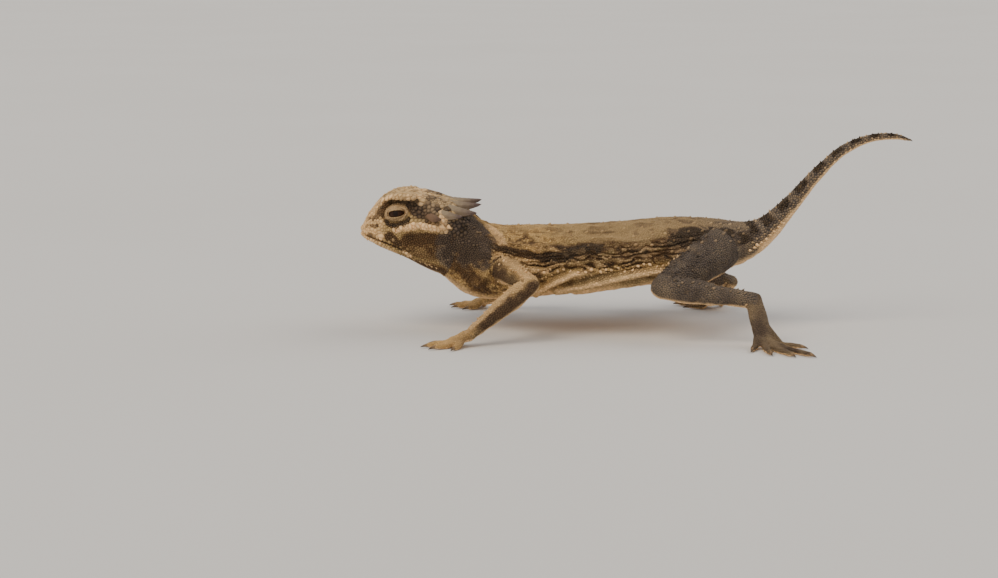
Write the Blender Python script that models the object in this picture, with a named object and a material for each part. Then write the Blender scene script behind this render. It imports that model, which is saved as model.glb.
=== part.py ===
"""A young horned lizard, life size, standing on all four feet with its head and tail raised.

The head points along -X, the left side along -Y, and the soles are at height zero.
"""

import math
import random

import bmesh
import bpy
from mathutils import Matrix, Vector

# All sizes are in millimetres, and finish() turns each mesh into metres.
MM = 0.001
GAP = 0.3  # between neighbouring nodes
FLOOR = 0.0
ACROSS = Vector((0.0, 1.0, 0.0))
UPWARD = Vector((0.0, 0.0, 1.0))
SIDES = ((-1, "left"), (1, "right"))

# Trunk and tail: x, z, half width, height above and depth below the widest line.
TRUNK = (
    (-20.1, 9.3, 3.8, 3.4, 4.0),
    (-18.2, 8.75, 4.4, 3.4, 4.8),
    (-15.8, 8.0, 5.6, 3.5, 4.9),
    (-12.0, 7.5, 6.9, 3.9, 4.0),
    (-6.5, 7.5, 7.8, 3.95, 3.4),
    (-1.0, 7.9, 8.0, 3.9, 3.2),
    (4.0, 8.5, 7.3, 3.75, 3.0),
    (8.3, 9.0, 5.4, 3.2, 2.8),
    (11.6, 9.6, 3.5, 2.35, 2.2),
    (14.2, 10.9, 2.3, 1.5, 1.5),
    (16.8, 13.6, 1.5, 1.0, 1.0),
    (19.6, 16.9, 1.05, 0.75, 0.75),
    (22.4, 19.55, 0.82, 0.62, 0.6),
    (25.4, 20.95, 0.64, 0.52, 0.5),
    (28.2, 21.2, 0.46, 0.4, 0.4),
    (30.1, 20.75, 0.2, 0.18, 0.18),
)
TRUNK_SQUARENESS = 0.88  # 1 is an ellipse, less is boxier
# Where each node of the trunk begins and ends, as places along TRUNK, with its rings and sides.
TRUNK_NODES = (
    ("neck", 0.0, 1.6, 8, 24),
    ("torso", 1.6, 8.4, 26, 26),
    ("tail_base", 8.4, 10.4, 8, 16),
    ("tail_middle", 10.4, 12.4, 8, 12),
    ("tail_tip", 12.4, 15.0, 9, 10),
)
TAIL_TIP_ROUNDING = 0.3

# Head frame: f runs forward to the snout, u up, both from the joint with the neck.
HEAD_ORIGIN = Vector((-21.5, 0.0, 10.3))
HEAD_PITCH = math.radians(15.0)
# f, then width and height of the crown's middle, crown edge, temple, mouth, jaw and throat.
HEAD = (
    (-1.3, (0, 3.4), (2.4, 3.2), (4.3, 1.7), (4.0, -1.5), (2.8, -3.4), (0, -4.2)),
    (-0.5, (0, 4.0), (3.0, 3.8), (5.0, 2.0), (4.1, -1.7), (2.9, -3.5), (0, -4.2)),
    (1.2, (0, 4.0), (3.3, 4.0), (5.3, 1.7), (3.9, -2.0), (2.8, -3.4), (0, -3.9)),
    (3.2, (0, 3.85), (3.2, 4.0), (4.8, 1.3), (3.7, -2.25), (2.7, -3.1), (0, -3.4)),
    (5.2, (0, 3.55), (2.8, 3.6), (3.7, 1.2), (3.2, -2.15), (2.3, -2.85), (0, -3.15)),
    (6.6, (0, 3.0), (2.2, 3.1), (3.0, 1.0), (2.7, -2.05), (1.9, -2.7), (0, -2.95)),
    (7.6, (0, 2.35), (1.5, 2.2), (2.3, 0.6), (2.2, -2.0), (1.5, -2.5), (0, -2.65)),
    (8.3, (0, 1.0), (0.9, 0.9), (1.6, -0.3), (1.6, -1.95), (1.0, -2.35), (0, -2.5)),
    (8.75, (0, -0.4), (0.6, -0.5), (0.95, -1.1), (0.95, -1.85), (0.6, -2.15), (0, -2.25)),
)
SNOUT_TIP = (9.0, 0.0, -1.5)
HEAD_SIDES = 28
HEAD_STEPS = 3  # rings for each row of HEAD
MOUTH = 3  # the column of HEAD that runs along the mouth
MOUTH_CORNER = 2.9  # place along HEAD where the mouth line ends
MOUTH_STEP = 0.6  # in places along HEAD
MOUTH_LINE = 0.13  # radius of the groove
LIP_OFFSET = 0.24  # from the groove to the middle of each lip
LIP_RADII = (0.08, 0.2)  # at the corner of the mouth and along it

# Hollows on each side of the head: f, y, u of the middle, radius and depth.
ORBIT = (5.7, 3.6, 1.6, 2.2, 0.35)
TEMPORAL_PIT = (3.0, 4.7, 2.5, 1.9, 0.5)
CHEEK = (2.6, 4.6, -0.8, 1.9, 0.5)

EYE = (5.8, 2.75, 1.6)  # f, y, u of the eyeball's middle
EYE_SIZE = (0.95, 0.5, 0.48)  # half length, half depth and half height
EYE_TILT = math.radians(23.0)  # the back corner is the higher one
EYE_TURN = math.radians(12.0)  # the eye looks a little forward
LID_SIZE = (1.12, 0.68)  # half length and half height of the ring of the lids
LID_THICK = (0.24, 0.28)  # its radius at the corners, and above and below the eye
LID_REACH = 0.52  # from the eyeball's middle out to the ring
# The ridge over each eye: f, y, u and radius, and its free tip.
BROW = ((7.4, 1.9, 2.1, 0.2), (6.3, 2.75, 2.95, 0.42), (5.0, 3.4, 3.4, 0.52), (4.2, 3.8, 3.7, 0.4))
BROW_TIP = (3.2, 4.15, 4.15)
NOSTRIL, NOSTRIL_SIZE = (8.15, 0.95, 0.15), (0.24, 0.24, 0.2)

# Horns: name, f, y, u of the root, direction in the head frame, length and root radius.
HORNS = (
    ("horn_occipital", (0.3, 1.5, 3.4), (-0.95, 0.2, 0.24), 3.8, 0.8),
    ("horn_temporal_1", (0.3, 3.0, 3.15), (-0.93, 0.36, 0.1), 3.6, 0.78),
    ("horn_temporal_2", (0.8, 4.1, 2.65), (-0.80, 0.58, 0.1), 3.0, 0.7),
    ("horn_temporal_3", (1.7, 4.6, 2.1), (-0.52, 0.84, 0.06), 2.2, 0.6),
)
HORN_LIFT = 0.1  # rise of the tip for each millimetre of length

# Pointed scales: length, half width, half thickness. Each is varied a little.
DORSAL_SPINE = (0.85, 0.34, 0.27)
FRINGE_SCALE = (0.85, 0.38, 0.27)
NECK_SPINE = (0.9, 0.33, 0.3)
TAIL_SPINE = (0.62, 0.28, 0.26)
LIMB_SPINE = (0.6, 0.3, 0.27)
SUBTEMPORAL_SPINE = (0.95, 0.48, 0.36)
CHIN_SHIELD = (0.6, 0.36, 0.28)
SPINE_SINK = 0.22  # depth of a spine's root under the skin
LENGTH_SPREAD = 0.16  # share by which their lengths vary
SPINE_CLEARANCE = 1.0  # from the tips of the trunk's spines to the upper lengths of the legs
# Rows on each side of the torso: degrees above the widest line, places, and how many.
DORSAL_ROWS = ((70, 1.9, 8.1, 9), (47, 2.1, 7.9, 10), (24, 2.3, 7.7, 10))
FRINGE_ROW = (2, 2.75, 5.75, 15)
NECK_ROWS = ((38, 0.35, 1.2, 2), (8, 0.35, 1.2, 3))
# Rows on each side of each length of the tail: degrees, places, and how many.
TAIL_ROWS = {
    "tail_base": ((62, 8.65, 10.1, 4), (5, 8.65, 10.1, 4)),
    "tail_middle": ((60, 10.6, 12.1, 4), (5, 10.7, 12.2, 4)),
    "tail_tip": ((55, 12.6, 13.9, 4),),
}
SUBTEMPORAL_ROW = ((4.25, 2.5), (3.2, 2.2), (2.1, 2.12), (1.0, 2.1))  # places and columns of HEAD
SUBTEMPORAL_COUNT = 7
CHIN_ROW = ((1.6, 3.75), (4.0, 3.8), (6.6, 3.75))
CHIN_COUNT = 8

# Legs: root, bend and end joints.
LEGS = {
    "foreleg_left": ((-14.8, -4.6, 7.4), (-12.0, -10.4, 6.3), (-18.4, -12.4, 1.3)),
    "foreleg_right": ((-14.8, 4.6, 7.4), (-10.6, 9.5, 6.5), (-16.2, 12.0, 1.3)),
    "hindleg_left": ((8.6, -3.4, 9.0), (2.1, -10.6, 6.1), (11.8, -10.9, 4.7)),
    "hindleg_right": ((8.6, 3.4, 9.0), (2.6, 10.9, 6.3), (11.4, 10.4, 3.4)),
}
# Radii of each length of a leg, read evenly from its near end to its far end.
UPPER_ARM = (1.7, 1.45, 1.2, 1.15)
FOREARM = (1.15, 1.2, 0.95, 0.75)
THIGH = (2.5, 2.35, 1.8, 1.4)
SHIN = (1.4, 1.4, 1.1, 0.9)
LIMB_SIDES = 12
LIMB_STEPS = 7
# Rows of spines on a length of a leg: degrees round it from the top to the back, shares, how many.
LIMB_ROWS = {
    "upper_arm": ((-40, 0.75, 0.95, 2),),
    "forearm": ((-60, 0.15, 0.85, 5), (20, 0.3, 0.75, 3)),
    "thigh": ((0, 0.62, 0.92, 3), (60, 0.62, 0.92, 3)),
    "shin": ((-30, 0.15, 0.85, 4), (40, 0.15, 0.85, 4)),
}

# Feet: heading of the sole in degrees from +X, and its length.
FEET = {
    "foreleg_left": (191.0, 1.9),
    "foreleg_right": (158.0, 1.9),
    "hindleg_left": (-70.0, 2.7),
    "hindleg_right": (134.0, 2.9),
}
SOLE_HEIGHT = 0.62  # of the middle of the sole's front edge
HAND_WIDTH, FOOT_WIDTH = 1.05, 1.1
# Toes from the inner to the outer one: angle from the heading, length, and how far back it starts.
FINGERS = ((-50, 1.7, 0.7), (-24, 2.4, 0.2), (-2, 2.8, 0.0), (20, 2.6, 0.2), (52, 1.8, 0.8))
TOES = ((-38, 2.7, 0.9), (-14, 4.2, 0.2), (4, 5.5, 0.0), (17, 6.7, 0.1), (46, 3.9, 1.6))
TOE_RADII = (0.46, 0.43, 0.36, 0.31)
TOE_SHARES = (0.0, 0.22, 0.45, 0.74, 1.0)
TOE_SPREAD = 0.75  # share of the sole's half width over which the toes start
TOE_HEIGHT = 0.33  # of a toe's middle line, where it lies on the floor
TOE_SIDES = 6
CLAW_LENGTH, CLAW_RADIUS, CLAW_DROP = 0.85, 0.26, 0.2

# Colour and roughness of the materials.
SKIN = ("skin", (0.30, 0.24, 0.15), 0.75)
HORN = ("horn", (0.33, 0.27, 0.20), 0.5)
EYEBALL = ("eye", (0.03, 0.02, 0.015), 0.12)


def clear_scene():
    for obj in list(bpy.data.objects):
        bpy.data.objects.remove(obj, do_unlink=True)


def material(name, colour, roughness):
    found = bpy.data.materials.get(name)
    if found:
        return found
    made = bpy.data.materials.new(name)
    made.use_nodes = True
    shader = made.node_tree.nodes["Principled BSDF"]
    shader.inputs["Base Color"].default_value = (*colour, 1.0)
    shader.inputs["Roughness"].default_value = roughness
    shader.inputs["Metallic"].default_value = 0.0
    return made


def smooth(a, b, c, d, t):
    """The value a share t of the way from b to c, on a smooth curve through a, b, c and d."""
    return b + 0.5 * t * (c - a + t * (2 * a - 5 * b + 4 * c - d + t * (3 * (b - c) + d - a)))


def flat_row(row):
    """One row of numbers from a row that holds pairs."""
    return [n for item in row for n in (item if isinstance(item, tuple) else (item,))]


def read_table(rows, place):
    """A table read smoothly between its rows: place 2.5 is halfway from rows[2] to rows[3]."""
    last = len(rows) - 1
    i = max(0, min(int(place), last - 1))
    near = [flat_row(rows[max(0, min(last, i + k))]) for k in (-1, 0, 1, 2)]
    return [smooth(*values, place - i) for values in zip(*near)]


def read_values(values, share):
    """A list of single values read smoothly, from share 0 at its start to 1 at its end."""
    return read_table([(value, 0.0) for value in values], share * (len(values) - 1))[0]


def mesh_object(name, bm):
    mesh = bpy.data.meshes.new(name)
    bmesh.ops.recalc_face_normals(bm, faces=bm.faces)
    bm.to_mesh(mesh)
    bm.free()
    obj = bpy.data.objects.new(name, mesh)
    bpy.context.scene.collection.objects.link(obj)
    return obj


def join_loops(bm, near, far):
    count = len(near)
    for i in range(count):
        j = (i + 1) % count
        bm.faces.new((near[i], near[j], far[j], far[i]))


def loft(name, rings, first=None, last=None):
    """A closed body through rings of points, with an end point at each end, or else a flat end."""
    bm = bmesh.new()
    loops = [[bm.verts.new(point) for point in ring] for ring in rings]
    for near, far in zip(loops, loops[1:]):
        join_loops(bm, near, far)
    for loop, point in ((loops[0], first), (loops[-1], last)):
        if point is None:
            bm.faces.new(loop)
            continue
        tip = bm.verts.new(point)
        for i, vert in enumerate(loop):
            bm.faces.new((vert, loop[(i + 1) % len(loop)], tip))
    return mesh_object(name, bm)


def ring_point(centre, side, up, sizes, angle, squareness=1.0):
    """A point of a rounded section: sizes are its half width, and its height above and below."""
    half_width, above, below = sizes
    across, high = math.cos(angle), math.sin(angle)
    across = math.copysign(abs(across) ** squareness, across) * half_width
    high = math.copysign(abs(high) ** squareness, high) * (above if high > 0 else below)
    return centre + side * across + up * high


def round_ring(centre, side, up, sizes, count, squareness=1.0):
    turn = 2 * math.pi / count
    return [ring_point(centre, side, up, sizes, turn * k, squareness) for k in range(count)]


def path_tube(name, points, radii, sides, tip=None):
    """A tube of round sections through points, with a flat or a pointed far end."""
    ahead = [*points[1:], tip if tip is not None else 2 * points[-1] - points[-2]]
    behind = [2 * points[0] - points[1], *points[:-1]]
    side = UPWARD.cross(ahead[0] - points[0])
    rings = []
    for point, before, after, radius in zip(points, behind, ahead, radii):
        along = (after - before).normalized()
        side = (side - along * side.dot(along)).normalized()
        rings.append(round_ring(point, side, along.cross(side), (radius,) * 3, sides))
    return loft(name, rings, last=tip)


def closed_tube(name, points, radii, normal, sides):
    """A tube that runs round through points and meets itself, with normal across its middle."""
    bm = bmesh.new()
    loops = []
    middle = sum(points, Vector()) / len(points)
    for point, radius in zip(points, radii):
        ring = round_ring(point, (point - middle).normalized(), normal, (radius,) * 3, sides)
        loops.append([bm.verts.new(corner) for corner in ring])
    for near, far in zip(loops, loops[1:] + loops[:1]):
        join_loops(bm, near, far)
    return mesh_object(name, bm)


def ellipsoid(name, centre, axes, sizes, segments=12, rings=8):
    bm = bmesh.new()
    bmesh.ops.create_uvsphere(bm, u_segments=segments, v_segments=rings, radius=1.0)
    turn = Matrix(axes).transposed().to_4x4()
    turn = Matrix.Translation(centre) @ turn @ Matrix.Diagonal((*sizes, 1.0))
    bmesh.ops.transform(bm, matrix=turn, verts=bm.verts)
    return mesh_object(name, bm)


def spine(name, root, outward, lie, size, sides=4, rounded=False):
    """A pointed scale: its root is sunk in the skin, and it leans the way that lie points."""
    length, half_width, half_thick = size
    tip = root + (outward + lie).normalized() * length
    base = root - outward * max(half_thick, SPINE_SINK)
    along = (tip - base).normalized()
    side = along.cross(outward).normalized()
    up = side.cross(along)
    sizes = (half_width, half_thick, half_thick)
    rings = [round_ring(base, side, up, sizes, sides)]
    if rounded:
        middle = [0.85 * value for value in sizes]
        rings.append(round_ring(base.lerp(tip, 0.55), side, up, middle, sides))
    return loft(name, rings, last=tip)


def varied(size, draw):
    """A pointed scale's sizes, with its length varied."""
    length, *girth = size
    return (length * (1 + draw.uniform(-LENGTH_SPREAD, LENGTH_SPREAD)), *girth)


def combine(obj, others, operation):
    """Joins others to obj, or cuts them from it, with one Boolean, and removes them."""
    if not others:
        return obj
    group = bpy.data.collections.new("pieces_of_" + obj.name)
    for other in others:
        group.objects.link(other)
    modifier = obj.modifiers.new(operation.lower(), "BOOLEAN")
    modifier.operation = operation
    modifier.operand_type = "COLLECTION"
    modifier.collection = group
    modifier.solver = "EXACT"
    graph = bpy.context.evaluated_depsgraph_get()
    mesh = bpy.data.meshes.new_from_object(obj.evaluated_get(graph))
    obj.modifiers.clear()
    obj.data = mesh
    for other in others:
        bpy.data.objects.remove(other, do_unlink=True)
    bpy.data.collections.remove(group)
    return keep_largest(obj)


def trim(obj, point, normal):
    """Cuts away what lies past the plane, and closes the cut."""
    bm = bmesh.new()
    bm.from_mesh(obj.data)
    geometry = bm.verts[:] + bm.edges[:] + bm.faces[:]
    bmesh.ops.bisect_plane(
        bm, geom=geometry, plane_co=point, plane_no=normal, clear_outer=True, dist=1e-5
    )
    rim = [edge for edge in bm.edges if edge.is_boundary]
    if rim:
        bmesh.ops.holes_fill(bm, edges=rim, sides=0)
    bmesh.ops.recalc_face_normals(bm, faces=bm.faces)
    bm.to_mesh(obj.data)
    bm.free()
    return keep_largest(obj)


def connected(vert, left):
    """The vertices that edges join to vert, which are taken out of left."""
    shell, queue = set(), [vert]
    while queue:
        at = queue.pop()
        shell.add(at)
        for edge in at.link_edges:
            other = edge.other_vert(at)
            if other in left:
                left.discard(other)
                queue.append(other)
    return shell


def keep_largest(obj):
    """Drops every closed surface of the mesh but the longest one."""
    bm = bmesh.new()
    bm.from_mesh(obj.data)
    left = set(bm.verts)
    shells = []
    while left:
        shells.append(connected(left.pop(), left))
    shells.sort(key=lambda shell: max(v.co.x for v in shell) - min(v.co.x for v in shell))
    for shell in shells[:-1]:
        bmesh.ops.delete(bm, geom=list(shell), context="VERTS")
    bm.to_mesh(obj.data)
    bm.free()
    return obj


def finish(obj, look, parent):
    """Turns a node into metres, shades it, and hangs it on the model's empty."""
    obj.data.transform(Matrix.Scale(MM, 4))
    obj.data.materials.clear()
    obj.data.materials.append(material(*look))
    obj.data.shade_smooth()
    obj.data.set_sharp_from_angle(angle=math.radians(50))
    obj.parent = parent


# Trunk and tail


def trunk_frame(place):
    """Centre, up direction and sizes of the trunk's section at a place along it."""
    x, z, *sizes = read_table(TRUNK, place)
    step = 0.02
    before = read_table(TRUNK, max(0.0, place - step))
    after = read_table(TRUNK, min(len(TRUNK) - 1.0, place + step))
    along = Vector((after[0] - before[0], 0.0, after[1] - before[1])).normalized()
    return Vector((x, 0.0, z)), Vector((-along.z, 0.0, along.x)), sizes


def trunk_surface(place, degrees, side):
    """A point of the trunk's skin, degrees above the widest line, its normal and the way back."""

    def skin(at, angle):
        centre, up, sizes = trunk_frame(at)
        return ring_point(centre, ACROSS * side, up, sizes, angle, TRUNK_SQUARENESS)

    angle = math.radians(degrees)
    point = skin(place, angle)
    back = (skin(place + 0.05, angle) - point).normalized()
    round_it = skin(place, angle + 0.05) - skin(place, angle - 0.05)
    return point, (back.cross(round_it) * -side).normalized(), back


def trunk_loops(first, last, rings, sides, grow=0.0):
    loops = []
    for k in range(rings):
        centre, up, sizes = trunk_frame(first + (last - first) * k / (rings - 1))
        sizes = [size + grow for size in sizes]
        loops.append(round_ring(centre, ACROSS, up, sizes, sides, TRUNK_SQUARENESS))
    return loops


def trunk_gap(place):
    """The length of one gap, in places along the trunk."""
    step = 0.05
    return GAP * step / (trunk_frame(place + step)[0] - trunk_frame(place)[0]).length


def trunk_spines(rows, size, lean, draw, rounded=False):
    """Rows of spines on both sides of the trunk, kept off the legs. lean is how far they lie back."""
    spines = []
    for degrees, first, last, count in rows:
        for side, _ in SIDES:
            for k in range(count):
                place = first + (last - first) * (k + 0.5 + draw.uniform(-0.2, 0.2)) / count
                angle = degrees + draw.uniform(-4, 4)
                point, normal, back = trunk_surface(place, angle, side)
                made = varied(size, draw)
                if clear_of_legs(point + normal * made[0]):
                    spines.append(
                        spine("trunk_spine", point, normal, back * lean, made, 4, rounded)
                    )
    return spines


def make_trunk():
    draw = random.Random(11)
    nodes = []
    for name, first, last, rings, sides in TRUNK_NODES:
        start = first + trunk_gap(first) if first else first
        tip = None
        if name == "tail_tip":
            tip = trunk_frame(last)[0]
            tip += (tip - trunk_frame(last - 0.1)[0]).normalized() * TAIL_TIP_ROUNDING
        node = loft(name, trunk_loops(start, last, rings, sides), last=tip)
        spines = trunk_spines(TAIL_ROWS.get(name, ()), TAIL_SPINE, 1.7, draw)
        if name == "neck":
            spines = trunk_spines(NECK_ROWS, NECK_SPINE, 0.9, draw)
        if name == "torso":
            spines = trunk_spines(DORSAL_ROWS, DORSAL_SPINE, 1.9, draw)
            spines += trunk_spines([FRINGE_ROW], FRINGE_SCALE, 0.7, draw, rounded=True)
        nodes.append(combine(node, spines, "UNION"))
    return nodes


# Head


def head_direction(f, y, u):
    c, s = math.cos(HEAD_PITCH), math.sin(HEAD_PITCH)
    return Vector((-c * f + s * u, y, s * f + c * u))


def head_point(f, y, u):
    return HEAD_ORIGIN + head_direction(f, y, u)


def hollowed(point):
    """Moves a point of the head's skin inwards where the orbit, temple and cheek are hollow."""
    for f, y, u, radius, depth in (ORBIT, TEMPORAL_PIT, CHEEK):
        for side, _ in SIDES:
            away = (point - head_point(f, y * side, u)).length / radius
            if away < 1:
                point = point - ACROSS * side * depth * (1 - away**2) ** 2
    return point


def head_skin(place, column, grow=0.0):
    """A point of the head's skin. The columns of HEAD go on up the left side as they came down."""
    f, *values = read_table(HEAD, place)
    outline = [Vector(values[i : i + 2]) for i in range(0, len(values), 2)]
    outline += [Vector((-p.x, p.y)) for p in outline[-2:0:-1]]
    column %= len(outline)
    i = int(column)
    near = [outline[(i + step) % len(outline)] for step in (-1, 0, 1, 2)]
    p = smooth(*near, column - i)
    if not grow:
        return hollowed(head_point(f, p.x, p.y))
    middle = (outline[0] + outline[len(outline) // 2]) / 2
    p = p + (p - middle).normalized() * grow
    return head_point(f, p.x, p.y)


def head_columns():
    return 2 * (len(HEAD[0]) - 2)


def head_surface(place, column, side):
    """A point of the head's skin on one side, its normal and the way back."""
    column *= side
    point = head_skin(place, column)
    back = (head_skin(place - 0.1, column) - point).normalized()
    round_it = head_skin(place, column + 0.1) - head_skin(place, column - 0.1)
    return point, back.cross(round_it).normalized(), back


def head_shell(name, grow=0.0):
    steps = (len(HEAD) - 1) * HEAD_STEPS
    columns = [head_columns() * k / HEAD_SIDES for k in range(HEAD_SIDES)]
    rings = [[head_skin(k / HEAD_STEPS, at, grow) for at in columns] for k in range(steps + 1)]
    f, y, u = SNOUT_TIP
    return loft(name, rings, last=head_point(f + grow, y, u))


def head_spines(row, count, size, droop, lean, draw):
    """A row of spines on both sides of the head. droop turns them down, and lean back."""
    spines = []
    for side, _ in SIDES:
        for k in range(count):
            at = (len(row) - 1) * (k + 0.5) / count
            place, column = read_table(row, at)
            point, normal, back = head_surface(place, column, side)
            lie = back * lean - UPWARD * droop
            spines.append(spine("head_spine", point, normal, lie, varied(size, draw), 5, True))
    return spines


def eye_frame(side):
    """Middle, length, outward and height directions of an eye."""
    f, y, u = EYE
    length = head_direction(-math.cos(EYE_TILT), 0, math.sin(EYE_TILT))
    outward = head_direction(math.sin(EYE_TURN), side * math.cos(EYE_TURN), 0)
    length = (length - outward * length.dot(outward)).normalized()
    return head_point(f, y * side, u), length, outward, length.cross(outward).normalized()


def lid_ring(name, side, segments=18, sides=7):
    """The two lids as one long ring round the opening of the eye."""
    middle, length, outward, high = eye_frame(side)
    middle = middle + outward * LID_REACH
    points, radii = [], []
    for k in range(segments):
        angle = 2 * math.pi * k / segments
        across, up = math.cos(angle) * LID_SIZE[0], math.sin(angle) * LID_SIZE[1]
        points.append(middle + length * across + high * up)
        radii.append(LID_THICK[0] + (LID_THICK[1] - LID_THICK[0]) * math.sin(angle) ** 2)
    return closed_tube(name, points, radii, outward, sides)


def brow(name, side):
    points = [head_point(f, y * side, u) for f, y, u, _ in BROW]
    tip = head_point(BROW_TIP[0], BROW_TIP[1] * side, BROW_TIP[2])
    return path_tube(name, points, [row[3] for row in BROW], 7, tip)


def mouth_path(rise):
    """Points along the mouth from the right corner round the snout to the left one."""
    half = []
    for k in range(math.ceil((len(HEAD) - 1 - MOUTH_CORNER) / MOUTH_STEP)):
        f, *values = read_table(HEAD, MOUTH_CORNER + MOUTH_STEP * k)
        half.append((f, values[2 * MOUTH], values[2 * MOUTH + 1] + rise))
    right = [head_point(f, y, u) for f, y, u in half]
    left = [head_point(f, -y, u) for f, y, u in reversed(half)]
    return [*right, head_point(SNOUT_TIP[0] - 0.05, 0.0, half[-1][2]), *left]


def lip(name, rise):
    points = mouth_path(rise)
    thin, full = LIP_RADII
    radii = [thin, *[full] * (len(points) - 2), thin]
    return path_tube(name, points, radii, 5)


def mouth_line(name):
    points = mouth_path(0.0)
    return path_tube(name, points, [MOUTH_LINE] * len(points), 5)


def make_head():
    draw = random.Random(5)
    head = head_shell("head")
    pieces = [lip("upper_lip", LIP_OFFSET), lip("lower_lip", -LIP_OFFSET)]
    cutters = [mouth_line("mouth_line")]
    for side, word in SIDES:
        middle, *axes = eye_frame(side)
        pieces += [lid_ring("lids_" + word, side), brow("brow_" + word, side)]
        socket = [size + GAP for size in EYE_SIZE]
        cutters.append(ellipsoid("socket_" + word, middle, axes, socket))
        f, y, u = NOSTRIL
        axes = Matrix.Identity(3)
        nostril = head_point(f, y * side, u)
        cutters.append(ellipsoid("nostril_" + word, nostril, axes, NOSTRIL_SIZE, 8, 6))
    pieces += head_spines(SUBTEMPORAL_ROW, SUBTEMPORAL_COUNT, SUBTEMPORAL_SPINE, 0.1, 0.8, draw)
    pieces += head_spines(CHIN_ROW, CHIN_COUNT, CHIN_SHIELD, 0.5, 0.2, draw)
    combine(head, pieces, "UNION")
    return combine(head, cutters, "DIFFERENCE")


def make_eye(name, side):
    middle, *axes = eye_frame(side)
    return ellipsoid(name, middle, axes, EYE_SIZE)


def make_horn(name, root, direction, length, radius, side):
    """A horn that bends a little upwards, with its root cut to the shape of the head."""
    base = head_point(root[0], root[1] * side, root[2])
    along = head_direction(direction[0], direction[1] * side, direction[2]).normalized()
    shares = (0.0, 0.3, 0.6, 0.85)
    lift = UPWARD * HORN_LIFT * length
    points = [base + along * length * t + lift * t * t for t in shares]
    radii = [radius * (1 - 0.75 * t) for t in shares]
    obj = path_tube(name, points, radii, 8, base + along * length + lift)
    return combine(obj, [head_shell("head_with_gap", GAP)], "DIFFERENCE")


# Legs


def limb_frame(start, end):
    """Directions of a limb's length: along it, across it, and towards its upper side."""
    along = (end - start).normalized()
    across = along.cross(UPWARD).normalized()
    return along, across, across.cross(along)


def bone(name, start, end, radii):
    """A limb's length between two joints, with round ends."""
    along, across, up = limb_frame(start, end)
    length = (end - start).length
    bulge = (0.5, 1.05)  # angles of the rings on a round end
    stations = [(-radii[0] * math.cos(a), radii[0] * math.sin(a)) for a in bulge]
    for k in range(LIMB_STEPS + 1):
        stations.append((length * k / LIMB_STEPS, read_values(radii, k / LIMB_STEPS)))
    stations += [(length + radii[-1] * math.cos(a), radii[-1] * math.sin(a)) for a in bulge[::-1]]
    rings = [
        round_ring(start + along * at, across, up, (radius,) * 3, LIMB_SIDES)
        for at, radius in stations
    ]
    return loft(name, rings, start - along * radii[0], end + along * radii[-1])


def limb_spines(rows, start, end, radii, draw):
    along, across, up = limb_frame(start, end)
    back = across if across.x > 0 else -across
    spines = []
    for degrees, first, last, count in rows:
        for k in range(count):
            share = first + (last - first) * (k + 0.5 + draw.uniform(-0.15, 0.15)) / count
            angle = math.radians(degrees + draw.uniform(-8, 8))
            normal = up * math.cos(angle) + back * math.sin(angle)
            point = start.lerp(end, share) + normal * read_values(radii, share)
            spines.append(spine("limb_spine", point, normal, along * 1.5, varied(LIMB_SPINE, draw)))
    return spines


def clear_of_legs(point):
    """Whether a spine's tip is well clear of the upper length of every leg."""
    for leg, joints in LEGS.items():
        start, end = Vector(joints[0]), Vector(joints[1])
        radii = UPPER_ARM if leg.startswith("fore") else THIGH
        share = max(0.0, min(1.0, (point - start).dot(end - start) / (end - start).length_squared))
        if (point - start.lerp(end, share)).length < read_values(radii, share) + SPINE_CLEARANCE:
            return False
    return True


def joint_plane(before, joint, after):
    """The direction across a joint, towards the further length."""
    return ((joint - before).normalized() + (after - joint).normalized()).normalized()


def toe_and_claw(number, root, heading, length):
    """A toe that comes down to the floor and lies along it, and the claw at its end."""
    along = Vector((math.cos(heading), math.sin(heading), 0.0))
    points = []
    for share in TOE_SHARES:
        point = root + along * length * share
        fall = max(0.0, 1 - share / TOE_SHARES[2])
        point.z = TOE_HEIGHT + (root.z - TOE_HEIGHT) * fall**2 * (3 - 2 * fall)
        points.append(point)
    radii = [read_values(TOE_RADII, share) for share in TOE_SHARES]
    end = points[-1]
    toe = path_tube(f"toe_{number}", points, radii, TOE_SIDES, end + along * radii[-1] * 0.8)
    drop = UPWARD * CLAW_DROP
    middle = end + along * CLAW_LENGTH * 0.5 - drop * 0.3
    radii = (CLAW_RADIUS, CLAW_RADIUS * 0.7)
    tip = end + along * CLAW_LENGTH - drop
    return [toe, path_tube(f"claw_{number}", [end - along * 0.1, middle], radii, 5, tip)]


def foot_frame(leg):
    """The ankle, the middle of the sole's front edge, and the heading."""
    ankle = Vector(LEGS[leg][2])
    degrees, length = FEET[leg]
    heading = math.radians(degrees)
    front = ankle + Vector((math.cos(heading), math.sin(heading), 0.0)) * length
    front.z = SOLE_HEIGHT
    return ankle, front, heading


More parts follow.
